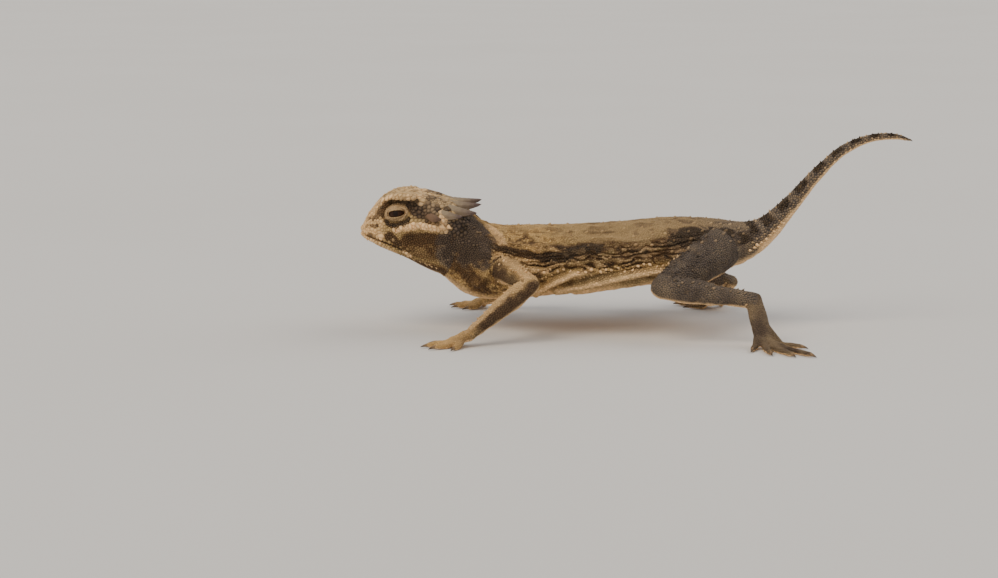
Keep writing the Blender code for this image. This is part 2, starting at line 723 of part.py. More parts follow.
def make_foot(name, leg, side):
    fore = leg.startswith("fore")
    width = HAND_WIDTH if fore else FOOT_WIDTH
    joint = FOREARM[-1] if fore else SHIN[-1]
    ankle, front, heading = foot_frame(leg)
    along = (front - ankle).normalized()
    level = Vector((math.cos(heading), math.sin(heading), 0.0))
    across = UPWARD.cross(level)
    up = along.cross(across)
    heel = joint / (front - ankle).length
    # Shares of the way from the ankle to the front edge, half widths and half heights.
    sections = (
        (-0.8 * heel, 0.75 * joint, 0.75 * joint),
        (-0.45 * heel, 0.95 * joint, 0.95 * joint),
        (0.0, joint, joint),
        (0.35, joint + (width - joint) * 0.8, 0.85 * joint),
        (0.7, joint + (width - joint) * 0.95, 0.62 * joint),
        (1.0, width, SOLE_HEIGHT * 0.84),
    )
    rings = []
    for share, half, high in sections:
        rings.append(round_ring(ankle.lerp(front, share), across, up, (half, high, high), 12))
    toe_line = (width * TOE_SPREAD, TOE_HEIGHT, TOE_HEIGHT)
    rings.append(round_ring(front + level * TOE_HEIGHT, across, UPWARD, toe_line, 12))
    sole = loft(name, rings)
    pieces = []
    for number, (degrees, length, back) in enumerate(FINGERS if fore else TOES, 1):
        turn = -side * math.radians(degrees)
        root = front + across * math.sin(turn) * width * TOE_SPREAD - along * (back + 0.25)
        pieces += toe_and_claw(number, root, heading + turn, length)
    combine(sole, pieces, "UNION")
    return trim(sole, Vector((0, 0, FLOOR)), -UPWARD)


def make_leg(leg, side):
    """The two lengths of a leg and its foot, each cut a gap clear of its neighbour."""
    draw = random.Random(list(LEGS).index(leg))
    word = leg.split("_")[1]
    fore = leg.startswith("fore")
    names = ("upper_arm", "forearm", "hand") if fore else ("thigh", "shin", "foot")
    upper_radii, lower_radii = (UPPER_ARM, FOREARM) if fore else (THIGH, SHIN)
    root, bend, end = (Vector(point) for point in LEGS[leg])
    upper = bone(f"{names[0]}_{word}", root, bend, upper_radii)
    lower = bone(f"{names[1]}_{word}", bend, end, lower_radii)
    foot = make_foot(f"{names[2]}_{word}", leg, side)
    at_bend = joint_plane(root, bend, end)
    at_end = joint_plane(bend, end, foot_frame(leg)[1])
    combine(upper, limb_spines(LIMB_ROWS[names[0]], root, bend, upper_radii, draw), "UNION")
    combine(lower, limb_spines(LIMB_ROWS[names[1]], bend, end, lower_radii, draw), "UNION")
    trim(upper, bend - at_bend * GAP / 2, at_bend)
    trim(lower, bend + at_bend * GAP / 2, -at_bend)
    trim(lower, end - at_end * GAP / 2, at_end)
    trim(foot, end + at_end * GAP / 2, -at_end)
    first, last = TRUNK_NODES[1][1:3]
    for obj in (upper, lower):
        cutter = loft("torso_with_gap", trunk_loops(first - 0.3, last + 0.3, 34, 32, GAP))
        combine(obj, [cutter], "DIFFERENCE")
    return [upper, lower, foot]


def main():
    clear_scene()
    lizard = bpy.data.objects.new("horned_lizard", None)
    bpy.context.scene.collection.objects.link(lizard)
    skin = [make_head(), *make_trunk()]
    eyes, horns = [], []
    for side, word in SIDES:
        skin += make_leg(f"foreleg_{word}", side)
        skin += make_leg(f"hindleg_{word}", side)
        eyes.append(make_eye(f"eye_{word}", side))
        horns += [make_horn(f"{name}_{word}", *shape, side) for name, *shape in HORNS]
    for objects, look in ((skin, SKIN), (eyes, EYEBALL), (horns, HORN)):
        for obj in objects:
            finish(obj, look, lizard)


main()
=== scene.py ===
"""The looks of a young horned lizard, life size, standing with its head and tail raised.

One skin covers the body, and small scales, spines and head plates stand on it. The horns,
eyes, lids and claws are pieces of their own. Sizes are in millimetres until a piece is done.
"""

import itertools
import math
import random

import bmesh
import bpy
import numpy as np
from mathutils import Matrix, Vector
from mathutils.bvhtree import BVHTree
from mathutils.kdtree import KDTree


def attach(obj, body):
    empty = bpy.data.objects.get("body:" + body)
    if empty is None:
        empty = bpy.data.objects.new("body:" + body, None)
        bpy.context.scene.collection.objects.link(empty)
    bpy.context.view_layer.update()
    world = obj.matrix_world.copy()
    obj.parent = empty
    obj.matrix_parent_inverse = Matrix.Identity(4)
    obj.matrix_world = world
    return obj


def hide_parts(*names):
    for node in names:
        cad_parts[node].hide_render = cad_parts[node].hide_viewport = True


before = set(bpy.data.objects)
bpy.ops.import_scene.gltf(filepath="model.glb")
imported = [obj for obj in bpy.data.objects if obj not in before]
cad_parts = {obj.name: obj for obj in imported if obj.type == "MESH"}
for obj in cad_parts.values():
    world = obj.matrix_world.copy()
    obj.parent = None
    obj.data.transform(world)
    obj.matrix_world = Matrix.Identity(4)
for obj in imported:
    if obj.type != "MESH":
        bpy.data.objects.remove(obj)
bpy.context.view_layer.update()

MM = 0.001
ACROSS = Vector((0.0, 1.0, 0.0))
UPWARD = Vector((0.0, 0.0, 1.0))
SIDES = ((-1, "left"), (1, "right"))

# Trunk and tail: x, z, half width, height above and depth below the widest line.
TRUNK = (
    (-20.1, 9.3, 3.8, 3.4, 4.0),
    (-18.2, 8.75, 4.4, 3.4, 4.8),
    (-15.8, 8.0, 5.6, 3.5, 4.9),
    (-12.0, 7.5, 6.9, 3.9, 4.0),
    (-6.5, 7.5, 7.8, 3.95, 3.4),
    (-1.0, 7.9, 8.0, 3.9, 3.2),
    (4.0, 8.5, 7.3, 3.75, 3.0),
    (8.3, 9.0, 5.4, 3.2, 2.8),
    (11.6, 9.6, 3.5, 2.35, 2.2),
    (14.2, 10.9, 2.3, 1.5, 1.5),
    (16.8, 13.6, 1.5, 1.0, 1.0),
    (19.6, 16.9, 1.05, 0.75, 0.75),
    (22.4, 19.55, 0.82, 0.62, 0.6),
    (25.4, 20.95, 0.64, 0.52, 0.5),
    (28.2, 21.2, 0.46, 0.4, 0.4),
    (30.1, 20.75, 0.2, 0.18, 0.18),
)
TRUNK_SQUARENESS = 0.88
TAIL_START = 8.4  # place along TRUNK where the tail begins
NECK_END = 1.6

# Head frame: f runs forward to the snout, u up, both from the joint with the neck.
HEAD_ORIGIN = Vector((-21.5, 0.0, 10.3))
HEAD_PITCH = math.radians(15.0)
# f, then width and height of the crown's middle, crown edge, temple, mouth, jaw and throat.
HEAD = (
    (-1.3, (0, 3.4), (2.4, 3.2), (4.3, 1.7), (4.0, -1.5), (2.8, -3.4), (0, -4.2)),
    (-0.5, (0, 4.0), (3.0, 3.8), (5.0, 2.0), (4.1, -1.7), (2.9, -3.5), (0, -4.2)),
    (1.2, (0, 4.0), (3.3, 4.0), (5.3, 1.7), (3.9, -2.0), (2.8, -3.4), (0, -3.9)),
    (3.2, (0, 3.85), (3.2, 4.0), (4.8, 1.3), (3.7, -2.25), (2.7, -3.1), (0, -3.4)),
    (5.2, (0, 3.55), (2.8, 3.6), (3.7, 1.2), (3.2, -2.15), (2.3, -2.85), (0, -3.15)),
    (6.6, (0, 3.0), (2.2, 3.1), (3.0, 1.0), (2.7, -2.05), (1.9, -2.7), (0, -2.95)),
    (7.6, (0, 2.35), (1.5, 2.2), (2.3, 0.6), (2.2, -2.0), (1.5, -2.5), (0, -2.65)),
    (8.3, (0, 1.0), (0.9, 0.9), (1.6, -0.3), (1.6, -1.95), (1.0, -2.35), (0, -2.5)),
    (8.75, (0, -0.4), (0.6, -0.5), (0.95, -1.1), (0.95, -1.85), (0.6, -2.15), (0, -2.25)),
)
SNOUT_TIP = (9.0, 0.0, -1.5)
MOUTH = 3  # the column of HEAD that runs along the mouth
MOUTH_CORNER = 2.9
HOLLOWS = ((5.7, 3.6, 1.6, 2.2, 0.35), (3.0, 4.7, 2.5, 1.9, 0.5), (2.6, 4.6, -0.8, 1.9, 0.5))

EYE = (5.53, 2.8, 1.35)
EYE_TILT = math.radians(23.0)
EYE_TURN = math.radians(12.0)
EYE_FRONT = 0.5  # from EYE out to the front of the eyeball
EYEBALL_RADIUS = 1.0
SLIT = (0.9, 0.37)  # half length and half height of the opening between the lids
LID_WIDTH = (0.46, 0.44, 0.68)  # at the corners of the eye, above it and below it
BROW = ((7.4, 1.9, 2.1, 0.2), (6.3, 2.75, 2.95, 0.42), (5.0, 3.4, 3.4, 0.52), (4.2, 3.8, 3.7, 0.4))
BROW_TIP = (3.6, 3.95, 3.85)
NOSTRIL = (8.15, 0.95, 0.15)

HORNS = (
    ("horn_occipital", (0.3, 1.5, 3.4), (-0.95, 0.2, 0.24), 3.8, 0.8),
    ("horn_temporal_1", (0.3, 3.0, 3.15), (-0.93, 0.36, 0.1), 3.6, 0.78),
    ("horn_temporal_2", (0.8, 4.1, 2.65), (-0.80, 0.58, 0.1), 2.95, 0.62),
    ("horn_temporal_3", (1.7, 4.6, 2.1), (-0.52, 0.84, 0.06), 2.1, 0.52),
)
HORN_LIFT = 0.1

LEGS = {
    "foreleg_left": ((-14.8, -4.6, 7.4), (-12.0, -10.4, 6.3), (-18.4, -12.4, 1.3)),
    "foreleg_right": ((-14.8, 4.6, 7.4), (-10.6, 9.5, 6.5), (-16.2, 12.0, 1.3)),
    "hindleg_left": ((8.6, -3.4, 9.0), (2.1, -10.6, 6.1), (11.8, -10.9, 4.7)),
    "hindleg_right": ((8.6, 3.4, 9.0), (2.6, 10.9, 6.3), (11.4, 10.4, 3.4)),
}
UPPER_ARM = (1.7, 1.45, 1.2, 1.15)
FOREARM = (1.15, 1.2, 0.95, 0.75)
THIGH = (2.5, 2.35, 1.8, 1.4)
SHIN = (1.4, 1.4, 1.1, 0.9)
FEET = {
    "foreleg_left": (191.0, 1.9),
    "foreleg_right": (158.0, 1.9),
    "hindleg_left": (-70.0, 2.7),
    "hindleg_right": (134.0, 2.9),
}
SOLE_HEIGHT = 0.62
HAND_WIDTH, FOOT_WIDTH = 1.05, 1.1
FINGERS = ((-50, 1.7, 0.7), (-24, 2.4, 0.2), (-2, 2.8, 0.0), (20, 2.6, 0.2), (52, 1.8, 0.8))
TOES = ((-38, 2.7, 0.9), (-14, 4.2, 0.2), (4, 5.5, 0.0), (17, 6.7, 0.1), (46, 3.9, 1.6))
TOE_RADII = (0.46, 0.43, 0.36, 0.31)
TOE_SHARES = (0.0, 0.22, 0.45, 0.74, 1.0)
TOE_SPREAD = 0.75
TOE_HEIGHT = 0.33
CLAW_LENGTH, CLAW_RADIUS, CLAW_DROP = 0.85, 0.22, 0.2

# Skin: the voxel it is joined with, its smoothing, and the faces it keeps.
SKIN_VOXEL = 0.14
SKIN_TRIANGLES = 185000
COAT_DEPTH = 0.1  # how far the skin lies inside the body's outline

FLESH_NODES = ["head", "neck", "torso", "tail_base", "tail_middle", "tail_tip"]
for _, word in SIDES:
    for limb in ("upper_arm", "forearm", "hand", "thigh", "shin", "foot"):
        FLESH_NODES.append(f"{limb}_{word}")


# Shared shapes


def smooth(a, b, c, d, t):
    return b + 0.5 * t * (c - a + t * (2 * a - 5 * b + 4 * c - d + t * (3 * (b - c) + d - a)))


def held(value):
    """A value kept between 0 and 1."""
    return max(0.0, min(1.0, value))


def flat_row(row):
    return [n for item in row for n in (item if isinstance(item, tuple) else (item,))]


def read_table(rows, place):
    """A table read smoothly between its rows: place 2.5 is halfway from rows[2] to rows[3]."""
    last = len(rows) - 1
    i = max(0, min(int(place), last - 1))
    near = [flat_row(rows[max(0, min(last, i + k))]) for k in (-1, 0, 1, 2)]
    return [smooth(*values, place - i) for values in zip(*near)]


def read_values(values, share):
    return read_table([(value, 0.0) for value in values], share * (len(values) - 1))[0]


def ring_point(centre, side, up, sizes, angle, squareness=1.0):
    half_width, above, below = sizes
    across, high = math.cos(angle), math.sin(angle)
    across = math.copysign(abs(across) ** squareness, across) * half_width
    high = math.copysign(abs(high) ** squareness, high) * (above if high > 0 else below)
    return centre + side * across + up * high


def round_ring(centre, side, up, sizes, count, squareness=1.0):
    turn = 2 * math.pi / count
    return [ring_point(centre, side, up, sizes, turn * k, squareness) for k in range(count)]


def close_end(bm, rim, point):
    """Closes a rim with one face, or pulls it together at a point."""
    if point is None:
        bmesh.ops.contextual_create(bm, geom=rim)
        return
    made = bmesh.ops.extrude_edge_only(bm, edges=rim)["geom"]
    verts = [v for v in made if isinstance(v, bmesh.types.BMVert)]
    bmesh.ops.pointmerge(bm, verts=verts, merge_co=point)


def start_ring(bm, points):
    """A circle whose corners know their number round the ring, moved to the first points."""
    spoke = bm.verts.layers.int.get("spoke") or bm.verts.layers.int.new("spoke")
    turn = 2 * math.pi / len(points)
    circle = bmesh.ops.create_circle(bm, segments=len(points), radius=1.0)["verts"]
    for vert in circle:
        vert[spoke] = round(math.atan2(vert.co.y, vert.co.x) / turn) % len(points)
    for vert in circle:
        vert.co = points[vert[spoke]]
    return spoke, list({edge for vert in circle for edge in vert.link_edges})


def pull_ring(bm, spoke, rim, points):
    """Pulls a rim on to the next points, and gives the new rim."""
    made = bmesh.ops.extrude_edge_only(bm, edges=rim)["geom"]
    for vert in made:
        if isinstance(vert, bmesh.types.BMVert):
            vert.co = points[vert[spoke]]
    return [e for e in made if isinstance(e, bmesh.types.BMEdge) and e.is_boundary]


def loft(bm, rings, first=None, last=None):
    """A closed body through rings of points: one circle, pulled from each ring to the next."""
    spoke, start = start_ring(bm, rings[0])
    rim = list(start)
    for points in rings[1:]:
        rim = pull_ring(bm, spoke, rim, points)
    close_end(bm, start, first)
    close_end(bm, rim, last)


def path_tube(bm, points, radii, sides, tip=None):
    ahead = [*points[1:], tip if tip is not None else 2 * points[-1] - points[-2]]
    behind = [2 * points[0] - points[1], *points[:-1]]
    side = UPWARD.cross(ahead[0] - points[0])
    rings = []
    for point, before, after, radius in zip(points, behind, ahead, radii):
        along = (after - before).normalized()
        side = (side - along * side.dot(along)).normalized()
        rings.append(round_ring(point, side, along.cross(side), (radius,) * 3, sides))
    loft(bm, rings, last=tip)


def ball(bm, centre, axes, sizes, segments=24, rings=16):
    matrix = Matrix.Translation(centre) @ Matrix(axes).transposed().to_4x4()
    matrix = matrix @ Matrix.Diagonal((*sizes, 1.0))
    bmesh.ops.create_uvsphere(bm, u_segments=segments, v_segments=rings, radius=1.0, matrix=matrix)


def make_object(name, bm):
    bmesh.ops.recalc_face_normals(bm, faces=bm.faces)
    mesh = bpy.data.meshes.new(name)
    bm.to_mesh(mesh)
    bm.free()
    obj = bpy.data.objects.new(name, mesh)
    bpy.context.scene.collection.objects.link(obj)
    return obj


def apply_modifiers(obj):
    graph = bpy.context.evaluated_depsgraph_get()
    mesh = bpy.data.meshes.new_from_object(obj.evaluated_get(graph))
    obj.modifiers.clear()
    obj.data = mesh


# Trunk, head and legs


def trunk_frame(place):
    """Centre, up direction, direction along and sizes of the trunk's section at a place."""
    x, z, *sizes = read_table(TRUNK, place)
    step = 0.02
    before = read_table(TRUNK, max(0.0, place - step))
    after = read_table(TRUNK, min(len(TRUNK) - 1.0, place + step))
    along = Vector((after[0] - before[0], 0.0, after[1] - before[1])).normalized()
    return Vector((x, 0.0, z)), Vector((-along.z, 0.0, along.x)), along, sizes


def trunk_surface(place, degrees, side):
    """A point of the trunk, degrees above the widest line, its normal and the way back."""

    def skin(at, angle):
        centre, up, _, sizes = trunk_frame(at)
        return ring_point(centre, ACROSS * side, up, sizes, angle, TRUNK_SQUARENESS)

    angle = math.radians(degrees)
    point = skin(place, angle)
    back = (skin(place + 0.05, angle) - point).normalized()
    round_it = skin(place, angle + 0.05) - skin(place, angle - 0.05)
    return point, (back.cross(round_it) * -side).normalized(), back


def trunk_rings(count, sides):
    rings = []
    for k in range(count):
        centre, up, _, sizes = trunk_frame((len(TRUNK) - 1) * k / (count - 1))
        rings.append(round_ring(centre, ACROSS, up, sizes, sides, TRUNK_SQUARENESS))
    return rings


def head_direction(f, y, u):
    c, s = math.cos(HEAD_PITCH), math.sin(HEAD_PITCH)
    return Vector((-c * f + s * u, y, s * f + c * u))


def head_point(f, y, u):
    return HEAD_ORIGIN + head_direction(f, y, u)


def hollowed(point):
    for f, y, u, radius, depth in HOLLOWS:
        for side, _ in SIDES:
            away = (point - head_point(f, y * side, u)).length / radius
            if away < 1:
                point = point - ACROSS * side * depth * (1 - away**2) ** 2
    return point


def head_skin(place, column):
    """A point of the head. The columns of HEAD go on up the left side as they came down."""
    f, *values = read_table(HEAD, place)
    outline = [Vector(values[i : i + 2]) for i in range(0, len(values), 2)]
    outline += [Vector((-p.x, p.y)) for p in outline[-2:0:-1]]
    column %= len(outline)
    i = int(column)
    near = [outline[(i + step) % len(outline)] for step in (-1, 0, 1, 2)]
    p = smooth(*near, column - i)
    return hollowed(head_point(f, p.x, p.y))


def head_surface(place, column, side):
    """A point of one side of the head, its normal and the way back."""
    column *= side
    point = head_skin(place, column)
    back = (head_skin(place - 0.1, column) - point).normalized()
    round_it = head_skin(place, column + 0.1) - head_skin(place, column - 0.1)
    return point, back.cross(round_it).normalized(), back


def eye_frame(side):
    """Middle, length, outward and height directions of an eye."""
    f, y, u = EYE
    length = head_direction(-math.cos(EYE_TILT), 0, math.sin(EYE_TILT))
    outward = head_direction(math.sin(EYE_TURN), side * math.cos(EYE_TURN), 0)
    length = (length - outward * length.dot(outward)).normalized()
    return head_point(f, y * side, u), length, outward, length.cross(outward).normalized()


def mouth_path(rise, steps=24):
    """Points along the mouth from the right corner round the snout to the left one."""
    half = []
    for k in range(steps):
        f, *values = read_table(HEAD, MOUTH_CORNER + (len(HEAD) - 1 - MOUTH_CORNER) * k / steps)
        half.append((f, values[2 * MOUTH], values[2 * MOUTH + 1] + rise))
    right = [head_point(f, y, u) for f, y, u in half]
    left = [head_point(f, -y, u) for f, y, u in reversed(half)]
    return [*right, head_point(SNOUT_TIP[0] - 0.05, 0.0, half[-1][2]), *left]


def limb_frame(start, end):
    along = (end - start).normalized()
    across = along.cross(UPWARD).normalized()
    return along, across, across.cross(along)


def bone(bm, start, end, radii, steps=22, sides=28):
    along, across, up = limb_frame(start, end)
    length = (end - start).length
    bulge = (0.25, 0.55, 0.85, 1.2)
    stations = [(-radii[0] * math.cos(a), radii[0] * math.sin(a)) for a in bulge]
    for k in range(steps + 1):
        stations.append((length * k / steps, read_values(radii, k / steps)))
    stations += [(length + radii[-1] * math.cos(a), radii[-1] * math.sin(a)) for a in bulge[::-1]]
    rings = [
        round_ring(start + along * at, across, up, (radius,) * 3, sides)
        for at, radius in stations
    ]
    loft(bm, rings, start - along * radii[0], end + along * radii[-1])


def foot_frame(leg):
    """The ankle, the middle of the sole's front edge, and the heading."""
    ankle = Vector(LEGS[leg][2])
    degrees, length = FEET[leg]
    heading = math.radians(degrees)
    front = ankle + Vector((math.cos(heading), math.sin(heading), 0.0)) * length
    front.z = SOLE_HEIGHT
    return ankle, front, heading


def toe_lines(leg):
    """For each toe of a leg: the points of its middle line, its radii and its direction."""
    fore = leg.startswith("fore")
    side = -1 if leg.endswith("left") else 1
    width = HAND_WIDTH if fore else FOOT_WIDTH
    ankle, front, heading = foot_frame(leg)
    along = (front - ankle).normalized()
    level = Vector((math.cos(heading), math.sin(heading), 0.0))
    across = UPWARD.cross(level)
    lines = []
    for degrees, length, back in FINGERS if fore else TOES:
        turn = -side * math.radians(degrees)
        root = front + across * math.sin(turn) * width * TOE_SPREAD - along * (back + 0.25)
        ahead = Vector((math.cos(heading + turn), math.sin(heading + turn), 0.0))
        points = []
        for share in TOE_SHARES:
            point = root + ahead * length * share
            fall = max(0.0, 1 - share / TOE_SHARES[2])
            point.z = TOE_HEIGHT + (root.z - TOE_HEIGHT) * fall**2 * (3 - 2 * fall)
            points.append(point)
        lines.append((points, [read_values(TOE_RADII, share) for share in TOE_SHARES], ahead))
    return lines


def sole(bm, leg):
    fore = leg.startswith("fore")
    width = HAND_WIDTH if fore else FOOT_WIDTH
    joint = FOREARM[-1] if fore else SHIN[-1]
    ankle, front, heading = foot_frame(leg)
    along = (front - ankle).normalized()
    level = Vector((math.cos(heading), math.sin(heading), 0.0))
    across = UPWARD.cross(level)
    up = along.cross(across)
    heel = joint / (front - ankle).length
    # Shares of the way from the ankle to the front edge, half widths and half heights.
    sections = (
        (-0.8 * heel, 0.75 * joint, 0.75 * joint),
        (-0.45 * heel, 0.95 * joint, 0.95 * joint),
        (0.0, joint, joint),
        (0.35, joint + (width - joint) * 0.8, 0.85 * joint),
        (0.7, joint + (width - joint) * 0.95, 0.62 * joint),
        (1.0, width, SOLE_HEIGHT * 0.84),
    )
    rings = []
    for share, half, high in sections:
        rings.append(round_ring(ankle.lerp(front, share), across, up, (half, high, high), 20))
    toe_line = (width * TOE_SPREAD, TOE_HEIGHT, TOE_HEIGHT)
    rings.append(round_ring(front + level * TOE_HEIGHT, across, UPWARD, toe_line, 20))
    loft(bm, rings)


# Skeleton: short stations that tell which part of the body a point belongs to


REGIONS = ("head", "neck", "torso", "tail", "upper", "lower", "sole", "toe")
HEAD_PART, NECK, TORSO, TAIL, UPPER_LIMB, LOWER_LIMB, SOLE = range(7)  # numbers of REGIONS
FIRST_HINDLEG = 3  # legs are numbered from 1 in the order of LEGS


class Skeleton:
    """Stations along the body's middle lines, and what the nearest one says of a point."""

    def __init__(self):
        self.rows = []
        count = 150
        for k in range(count):
            place = (len(TRUNK) - 1) * k / (count - 1)
            centre, up, along, sizes = trunk_frame(place)
            region = "neck" if place < NECK_END else "torso" if place < TAIL_START else "tail"
            self.station(centre, along, up, sizes, region, place)
        count = 32
        for k in range(count):
            place = (len(HEAD) - 1) * k / (count - 1)
            f, *values = read_table(HEAD, place)
            top, bottom, wide = values[1], values[-1], max(values[4], values[6])
            tall = (top - bottom) / 2
            centre = head_point(f, 0.0, (top + bottom) / 2)
            back, up = head_direction(-1, 0, 0), head_direction(0, 0, 1)
            self.station(centre, back, up, (wide, tall, tall), "head", place)
        for number, (leg, joints) in enumerate(LEGS.items(), 1):
            self.leg_stations(leg, [Vector(j) for j in joints], number)
        self.centre = np.array([row[0] for row in self.rows])
        self.along = np.array([row[1] for row in self.rows])
        self.up = np.array([row[2] for row in self.rows])
        self.side = np.cross(self.up, self.along)
        self.sizes = np.array([tuple(row[3]) for row in self.rows])
        self.region = np.array([REGIONS.index(row[4]) for row in self.rows])
        self.place = np.array([row[5] for row in self.rows])
        self.leg = np.array([row[6] for row in self.rows])
        gap = np.linalg.norm(np.diff(self.centre, axis=0), axis=1)
        rate = np.diff(self.place) / np.maximum(gap, 1e-6)
        same = (np.diff(self.region) == 0) & (np.diff(self.leg) == 0)
        self.rate = np.append(np.where(same & (np.abs(rate) < 2), rate, 0.0), 0.0)
        self.half = np.append(np.where(same, gap / 2, 0.1), 0.1).clip(0, 0.4)

    def station(self, centre, along, up, sizes, region, place, leg=0):
        self.rows.append((centre, along, up, sizes, region, place, leg))

    def leg_stations(self, leg, joints, number):
        fore = leg.startswith("fore")
        for near, far, radii, region in (
            (joints[0], joints[1], UPPER_ARM if fore else THIGH, "upper"),
            (joints[1], joints[2], FOREARM if fore else SHIN, "lower"),
        ):
            along, _, up = limb_frame(near, far)
            for k in range(14):
                share = k / 13
                sizes = (read_values(radii, share),) * 3
                self.station(near.lerp(far, share), along, up, sizes, region, share, number)
        ankle, front, _ = foot_frame(leg)
        along, _, up = limb_frame(ankle, front)
        for k in range(6):
            sizes = (1.0, 0.6, 0.6)
            self.station(ankle.lerp(front, k / 5), along, up, sizes, "sole", k / 5, number)
        for digit, (points, radii, _) in enumerate(toe_lines(leg)):
            for near, far, radius in zip(points, points[1:], radii):
                along, _, up = limb_frame(near, far)
                sizes = (radius,) * 3
                for k in range(2):
                    place = digit + k / 2
                    self.station(near.lerp(far, k / 2), along, up, sizes, "toe", place, number)

    def nearest(self, points):
        """The station of each point: the one whose part of the body the point lies on best."""
        points = points.astype(np.float32)
        station = np.zeros(len(points), int)
        axes = [
            (axis.T.astype(np.float32), (axis * self.centre).sum(1).astype(np.float32))
            for axis in (self.along, self.side, self.up)
        ]
        sizes = self.sizes.astype(np.float32)
        half = self.half.astype(np.float32)
        limit = np.minimum(sizes[:, 0], sizes[:, 1])
        for start in range(0, len(points), 1000):
            part = points[start : start + 1000]
            t, y, z = (part @ axis - middle for axis, middle in axes)
            t = np.maximum(np.abs(t) - half, 0)
            z /= np.where(z > 0, sizes[:, 1], sizes[:, 2])
            y /= sizes[:, 0]
            excess = np.maximum(np.sqrt(y * y + z * z) - 1, -0.15) * limit
            station[start : start + 1000] = np.argmin(
                np.sqrt(excess * excess + t * t) + 0.3 * excess, axis=1
            )
        return station


class Body:
    """What the skeleton says of some points, from the station of each: part of the body, place
    along it, the way the scales lie, and the angle from its top in degrees (left is negative)."""

    def __init__(self, skeleton, points, station):
        self.points = points
        self.station = station
        self.region = skeleton.region[station]
        self.leg = skeleton.leg[station]
        self.lie = skeleton.along[station]
        away = points - skeleton.centre[station]
        t = (away * self.lie).sum(1)
        self.place = skeleton.place[station] + (t * skeleton.rate[station]).clip(-0.5, 0.5)
        y = (away * skeleton.side[station]).sum(1)
        z = (away * skeleton.up[station]).sum(1)
        wide, above, below = skeleton.sizes[station].T
        y, z = y / wide, z / np.where(z > 0, above, below)
        self.angle = np.degrees(np.arctan2(y, z))
        self.degrees = np.abs(self.angle)
        c, s = math.cos(HEAD_PITCH), math.sin(HEAD_PITCH)
        away = points - np.array(HEAD_ORIGIN)
        self.f = s * away[:, 2] - c * away[:, 0]
        self.u = s * away[:, 0] + c * away[:, 2]
        self.x = points[:, 0]
        self.y = points[:, 1]
        self.trunk = (self.region == NECK) | (self.region == TORSO)
        self.head = self.region == HEAD_PART
        self.tail = self.region == TAIL
        self.limb = (self.region == UPPER_LIMB) | (self.region == LOWER_LIMB)
        self.foot = self.region >= SOLE


def read_body(skeleton, points):
    return Body(skeleton, points, skeleton.nearest(points))


# Skin


def collar_rings(count, sides):
    """Rings that carry the back of the head on into the neck."""
    head_place, neck_place = 1.1, 1.15
    centre, up, _, sizes = trunk_frame(neck_place)
    neck = []
    for k in range(sides):
        angle = math.pi / 2 - 2 * math.pi * k / sides
        neck.append(ring_point(centre, ACROSS, up, sizes, angle, TRUNK_SQUARENESS))
    head = [head_skin(head_place, 10 * k / sides) for k in range(sides)]
    rings = []
    for k in range(count):
        share = k / (count - 1)
        rings.append([a.lerp(b, share) - (a - centre) * 0.03 for a, b in zip(head, neck)])
    return rings


def join_flesh():
    """All of the body's flesh as one closed skin."""
    bm = bmesh.new()
    tip = trunk_frame(len(TRUNK) - 1)[0] + Vector((0.28, 0.0, -0.1))
    loft(bm, trunk_rings(140, 60), last=tip)
    steps, sides = 60, 64
    rings = []
    for k in range(steps + 1):
        place = (len(HEAD) - 1) * k / steps
        rings.append([head_skin(place, 10 * j / sides) for j in range(sides)])
    loft(bm, rings, last=head_point(*SNOUT_TIP))
    ball(bm, Vector((-20.9, 0.0, 9.6)), ((1, 0, 0), (0, 1, 0), (0, 0, 1)), (2.4, 3.75, 3.5))
    loft(bm, collar_rings(8, 60))
    for side, _ in SIDES:
        points = [head_point(f, y * side, u) for f, y, u, _ in BROW]
        tip = head_point(BROW_TIP[0], BROW_TIP[1] * side, BROW_TIP[2])
        path_tube(bm, points, [row[3] for row in BROW], 14, tip)
    for leg, joints in LEGS.items():
        fore = leg.startswith("fore")
        root, bend, end = (Vector(joint) for joint in joints)
        bone(bm, root, bend, UPPER_ARM if fore else THIGH)
        bone(bm, bend, end, FOREARM if fore else SHIN)
        sole(bm, leg)
        for points, radii, ahead in toe_lines(leg):
            path_tube(bm, points, radii, 14, points[-1] + ahead * radii[-1] * 0.8)
    skin = make_object("skin", bm)
    remesh = skin.modifiers.new("join", "REMESH")
    remesh.mode = "VOXEL"
    remesh.voxel_size = SKIN_VOXEL
    soften = skin.modifiers.new("soften", "SMOOTH")
    soften.factor = 0.5
    soften.iterations = 5
    apply_modifiers(skin)
    soften_joints(skin)
    return skin


def soften_joints(skin):
    """Smooths the skin more where the head and the legs leave the trunk."""
    points, _ = read_points(skin.data)
    weights = np.zeros(len(points))
    for leg, joints in LEGS.items():
        reach = 3.6 if leg.startswith("fore") else 4.4
        away = np.linalg.norm(points - np.array(joints[0]), axis=1) / reach
        weights = np.maximum(weights, np.clip(2.2 - 2 * away, 0, 1))
        bend = np.linalg.norm(points - np.array(joints[1]), axis=1) / 2.2
        weights = np.maximum(weights, 0.7 * np.clip(2.2 - 2 * bend, 0, 1))
    away = np.abs(points[:, 0] + 19.9) / 1.9
    weights = np.maximum(weights, np.clip(1.8 - 1.5 * away, 0, 1) * (points[:, 2] > 2.5))
    group = skin.vertex_groups.new(name="joints")
    for step in range(1, 11):
        chosen = np.flatnonzero(np.round(weights * 10) == step)
        group.add(chosen.tolist(), step / 10, "REPLACE")
    soften = skin.modifiers.new("soften joints", "SMOOTH")
    soften.factor = 0.5
    soften.iterations = 45
    soften.vertex_group = "joints"
    apply_modifiers(skin)


